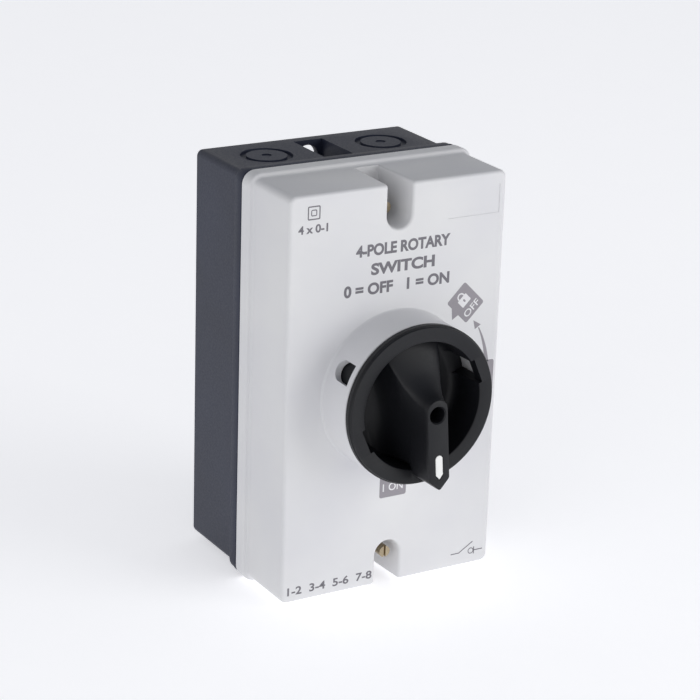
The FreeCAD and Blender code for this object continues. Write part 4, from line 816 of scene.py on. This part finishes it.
def wedge(points, layer=1):
    """A flat three-cornered piece of ink."""
    start_clean()
    bpy.ops.mesh.primitive_circle_add(vertices=3, radius=MM, fill_type="NGON", rotation=(math.pi / 2, 0, 0))
    bpy.ops.object.transform_apply(location=True, rotation=True, scale=True)
    piece = bpy.context.object
    for vertex, (x, z) in zip(piece.data.vertices, points):
        vertex.co = front(x, z, FACE + FILM * (layer - 1))
    bpy.ops.object.mode_set(mode="EDIT")
    bpy.ops.mesh.select_all(action="SELECT")
    bpy.ops.mesh.extrude_region_move(TRANSFORM_OT_translate={"value": front(0, 0, FILM)})
    bpy.ops.mesh.select_all(action="SELECT")
    bpy.ops.mesh.normals_make_consistent(inside=False)
    return settle("wedge")


def band(x, z, radius, first, last, wide, wide_end, steps=14, layer=1):
    """An arc of ink about a point, from one angle to another, that may taper."""
    start_clean()
    turn = (last - first) / steps
    bpy.ops.mesh.primitive_plane_add(size=MM, rotation=(math.pi / 2, 0, 0))
    bpy.ops.object.transform_apply(location=True, rotation=True, scale=True)
    bpy.ops.object.mode_set(mode="EDIT")
    select_where(lambda co: co.z > 0)
    bpy.ops.mesh.delete(type="VERT")
    depth = FACE + FILM * (layer - 1)
    select_where(lambda co: True)
    bpy.ops.transform.resize(value=(wide, 1, 1), center_override=(0, 0, 0))
    bpy.ops.transform.translate(value=front(radius, 0.5, depth))
    lean = Matrix.Rotation(math.radians(-first), 4, "Y")
    mesh = bmesh.from_edit_mesh(bpy.context.object.data)
    bmesh.ops.transform(mesh, matrix=lean, verts=mesh.verts)
    bmesh.update_edit_mesh(bpy.context.object.data)
    bpy.ops.mesh.select_mode(type="EDGE")
    bpy.ops.mesh.select_all(action="SELECT")
    for step in range(steps):
        now, after = (wide + (wide_end - wide) * (step + n) / steps for n in (0, 1))
        bpy.ops.mesh.extrude_edges_move()
        bpy.ops.transform.rotate(value=math.radians(turn), orient_axis="Y", center_override=(0, 0, 0))
        middle = math.radians(first + turn * (step + 1))
        bpy.ops.transform.resize(value=(after / now,) * 3, center_override=front(
            radius * math.cos(middle), radius * math.sin(middle), depth))
    bpy.ops.mesh.select_mode(type="FACE")
    bpy.ops.mesh.select_all(action="SELECT")
    bpy.ops.mesh.extrude_region_move(TRANSFORM_OT_translate={"value": front(0, 0, FILM)})
    bpy.ops.mesh.select_all(action="SELECT")
    bpy.ops.mesh.normals_make_consistent(inside=False)
    piece = settle("band")
    piece.data.transform(Matrix.Translation(front(x, z, 0)))
    return piece


# %% Labels round the handle
label_corner = 0.9
locked_x, locked_z, locked_turn = 32.1, 31.3, 45
on_x, off_x = 1.4, 41.2
locked_label = plate(locked_x, locked_z, 5.7, 6.7, label_corner, locked_turn)
carve(locked_label, wedge([(25.6, 30.6), (29.5, 26.9), (26.1, 24.8)]), "UNION")
on_label = plate(on_x, -40.2, 6.2, 6.3, label_corner)
carve(on_label, wedge([(-2.0, -34.4), (4.8, -34.4), (on_x, -31.9)]), "UNION")
off_label = plate(off_x, -1.6, 5.9, 6.8, label_corner)
carve(off_label, wedge([(35.6, 1.4), (35.6, -4.6), (33.4, -1.6)]), "UNION")
for name, label in (("locked_label", locked_label), ("on_label", on_label), ("off_label", off_label)):
    printed(name, label_ink, [label])
arrow_shaft = band(0, 0, 43.7, 6, 27.0, 2.0, 0.5)
arrow_head = wedge([(36.3, 23.2), (37.2, 19.3), (39.9, 21.0)])
printed("turn_arrow", label_ink, [arrow_shaft, arrow_head])


def on_locked(across, upward):
    """A point on the locked label; sine and cosine of its turn of 45 degrees are the same."""
    c = math.cos(math.radians(locked_turn))
    return locked_x + c * (across - upward), locked_z + c * (across + upward)


shackle = band(0, 0, 1.45, -12, 192, 0.6, 0.6, layer=2)
lean = Matrix.Rotation(math.radians(-locked_turn), 4, "Y")
shackle.data.transform(Matrix.Translation(front(*on_locked(0.2, 3.35), 0)) @ lean)
printed("label_signs", white_ink, [
    words("OFF", *on_locked(0.2, -4.0), 2.9, 8.4, locked_turn, layer=2, heavy=0.01),
    plate(*on_locked(0.2, 1.1), 2.5, 1.9, 0.4, locked_turn, layer=2), shackle,
    words("1 ON", on_x, -42.2, 3.3, 9.4, 0, layer=2, heavy=0.01),
    words("0", off_x, 1.6, 3.0, 2.4, 0, layer=2, heavy=0.01),
    words("OFF", off_x, -4.2, 3.0, 8.4, 0, layer=2, heavy=0.01)])
printed("keyhole", label_ink, [plate(*on_locked(0.2, 1.1), 0.4, 0.7, 0.35, locked_turn, layer=3)])

# %% Signs for double insulation and for a switch
def frame_of_ink(x, z, half, wide):
    """A square frame, made from a plate by taking its middle out."""
    outer = plate(x, z, half, half, 0.6)
    carve(outer, block("middle", x, z, FACE - 0.5, half - wide, half - wide, 1.0, 0.2), "DIFFERENCE")
    return outer


square_x, square_z = -38.35, 77.0
squares = [frame_of_ink(square_x, square_z, 2.75, 0.5), frame_of_ink(square_x, square_z, 1.3, 0.4)]
printed("insulation_sign", text_ink, squares)
lead_z, bar_x, line, ring_line = -78.4, 42.1, 0.42, 0.36
left_lead = stroke(30.9, lead_z, 34.8, lead_z, line)
blade = stroke(34.7, -78.45, 41.4, -74.3, line)
circle = band(40.6, lead_z, 1.2, 0, 360, ring_line, ring_line, 28)
bar = stroke(bar_x, -80.0, bar_x, -76.8, line)
right_lead = stroke(bar_x, lead_z, 46.3, lead_z, line)
printed("switch_sign", text_ink, [left_lead, blade, circle, bar, right_lead])

# %% [markdown]
# ## Floor, light and camera
# A sheet of white acrylic lit from below keeps the ground nearly white without more light on the switch. Two
# soft boxes stand at the front, one to each side. The sky is white at the horizon and grey overhead, which
# leaves the top of the box darker than its front.

# %% Floor
floor_size, floor_gap = 6, 0.0002
start_clean()
bpy.ops.mesh.primitive_plane_add(size=floor_size, location=(0, 0, cad_low.z - floor_gap))
floor = bpy.context.object
floor.name = "floor"
floor_paint = bpy.data.materials.new("white acrylic floor, lit from below")
floor_paint.use_nodes = True
floor_tree = floor_paint.node_tree
floor_noise = add_node(floor_tree, "TexNoise", {"Scale": 30.0},
                       {"Vector": add_node(floor_tree, "TexCoord").outputs["Object"]})
floor_tint = add_node(floor_tree, "MixRGB", {"Color1": colour("#fbfbfb"), "Color2": colour("#f8f8f9")},
                      {"Fac": floor_noise.outputs["Fac"]})
floor_shader = floor_tree.nodes["Principled BSDF"]
floor_tree.links.new(floor_tint.outputs["Color"], floor_shader.inputs["Base Color"])
floor_shader.inputs["Roughness"].default_value = 0.9
floor_shader.inputs["Emission Color"].default_value = colour("#fcfcff")
floor_shader.inputs["Emission Strength"].default_value = 0.5
floor.data.materials.append(floor_paint)


# %% Lights and sky
def soft_box(name, place, aim, wide, high, power):
    """An area light that faces a point; places in metres, power in watts."""
    start_clean()
    bpy.ops.object.light_add(type="AREA", location=place)
    lamp = bpy.context.object
    lamp.name = name
    lamp.data.shape = "RECTANGLE"
    lamp.data.size, lamp.data.size_y = wide, high
    lamp.data.energy = power
    lamp.rotation_euler = (Vector(aim) - Vector(place)).to_track_quat("-Z", "Y").to_euler()
    return lamp


middle = (cad_low + cad_high) / 2
soft_box("front right box", (0.9, -1.2, 0.3), middle, 0.9, 1.2, 8)
soft_box("front left box", (-1.3, -0.8, 0.25), middle, 0.8, 1.2, 3.2)
sky = bpy.data.worlds.new("white studio")
sky.use_nodes = True
sky_tree = sky.node_tree
sky_place = add_node(sky_tree, "TexCoord")
sky_way = add_node(sky_tree, "SeparateXYZ", links={"Vector": sky_place.outputs["Generated"]})
sky_shade = add_node(sky_tree, "ValToRGB", links={"Fac": sky_way.outputs["Z"]})
sky_shade.color_ramp.elements[0].position = 0.15
sky_shade.color_ramp.elements[0].color = (1.0, 1.0, 1.0, 1.0)
sky_shade.color_ramp.elements[1].position = 0.8
sky_shade.color_ramp.elements[1].color = (0.25, 0.265, 0.30, 1.0)
sky_tree.links.new(sky_shade.outputs["Color"], sky_tree.nodes["Background"].inputs["Color"])
sky_tree.nodes["Background"].inputs["Strength"].default_value = 0.78
bpy.context.scene.world = sky
bpy.context.scene.view_settings.view_transform = "Standard"

# %% [markdown]
# The camera stands to the left of the switch and a little above it, with a long lens, so that front, left
# side and top all show and the upright edges stay nearly parallel.

# %% Camera
azimuth, elevation, roll = math.radians(-30.87), math.radians(19.64), math.radians(1.85)
back = Vector((math.sin(azimuth) * math.cos(elevation), -math.cos(azimuth) * math.cos(elevation),
               math.sin(elevation)))
right = Vector((math.cos(azimuth), math.sin(azimuth), 0.0))
up = back.cross(right)
camera_x = right * math.cos(roll) + up * math.sin(roll)
camera_y = up * math.cos(roll) - right * math.sin(roll)
start_clean()
bpy.ops.object.camera_add()
camera = bpy.context.object
camera.data.lens = 124.96
camera.data.sensor_width = 36.0
camera.data.clip_start, camera.data.clip_end = 0.05, 20.0
target, distance = front(26.85, -13.72, 0), 1.0434
pose = Matrix((camera_x, camera_y, back)).transposed().to_4x4()
camera.matrix_world = Matrix.Translation(target + back * distance) @ pose
bpy.context.scene.camera = camera
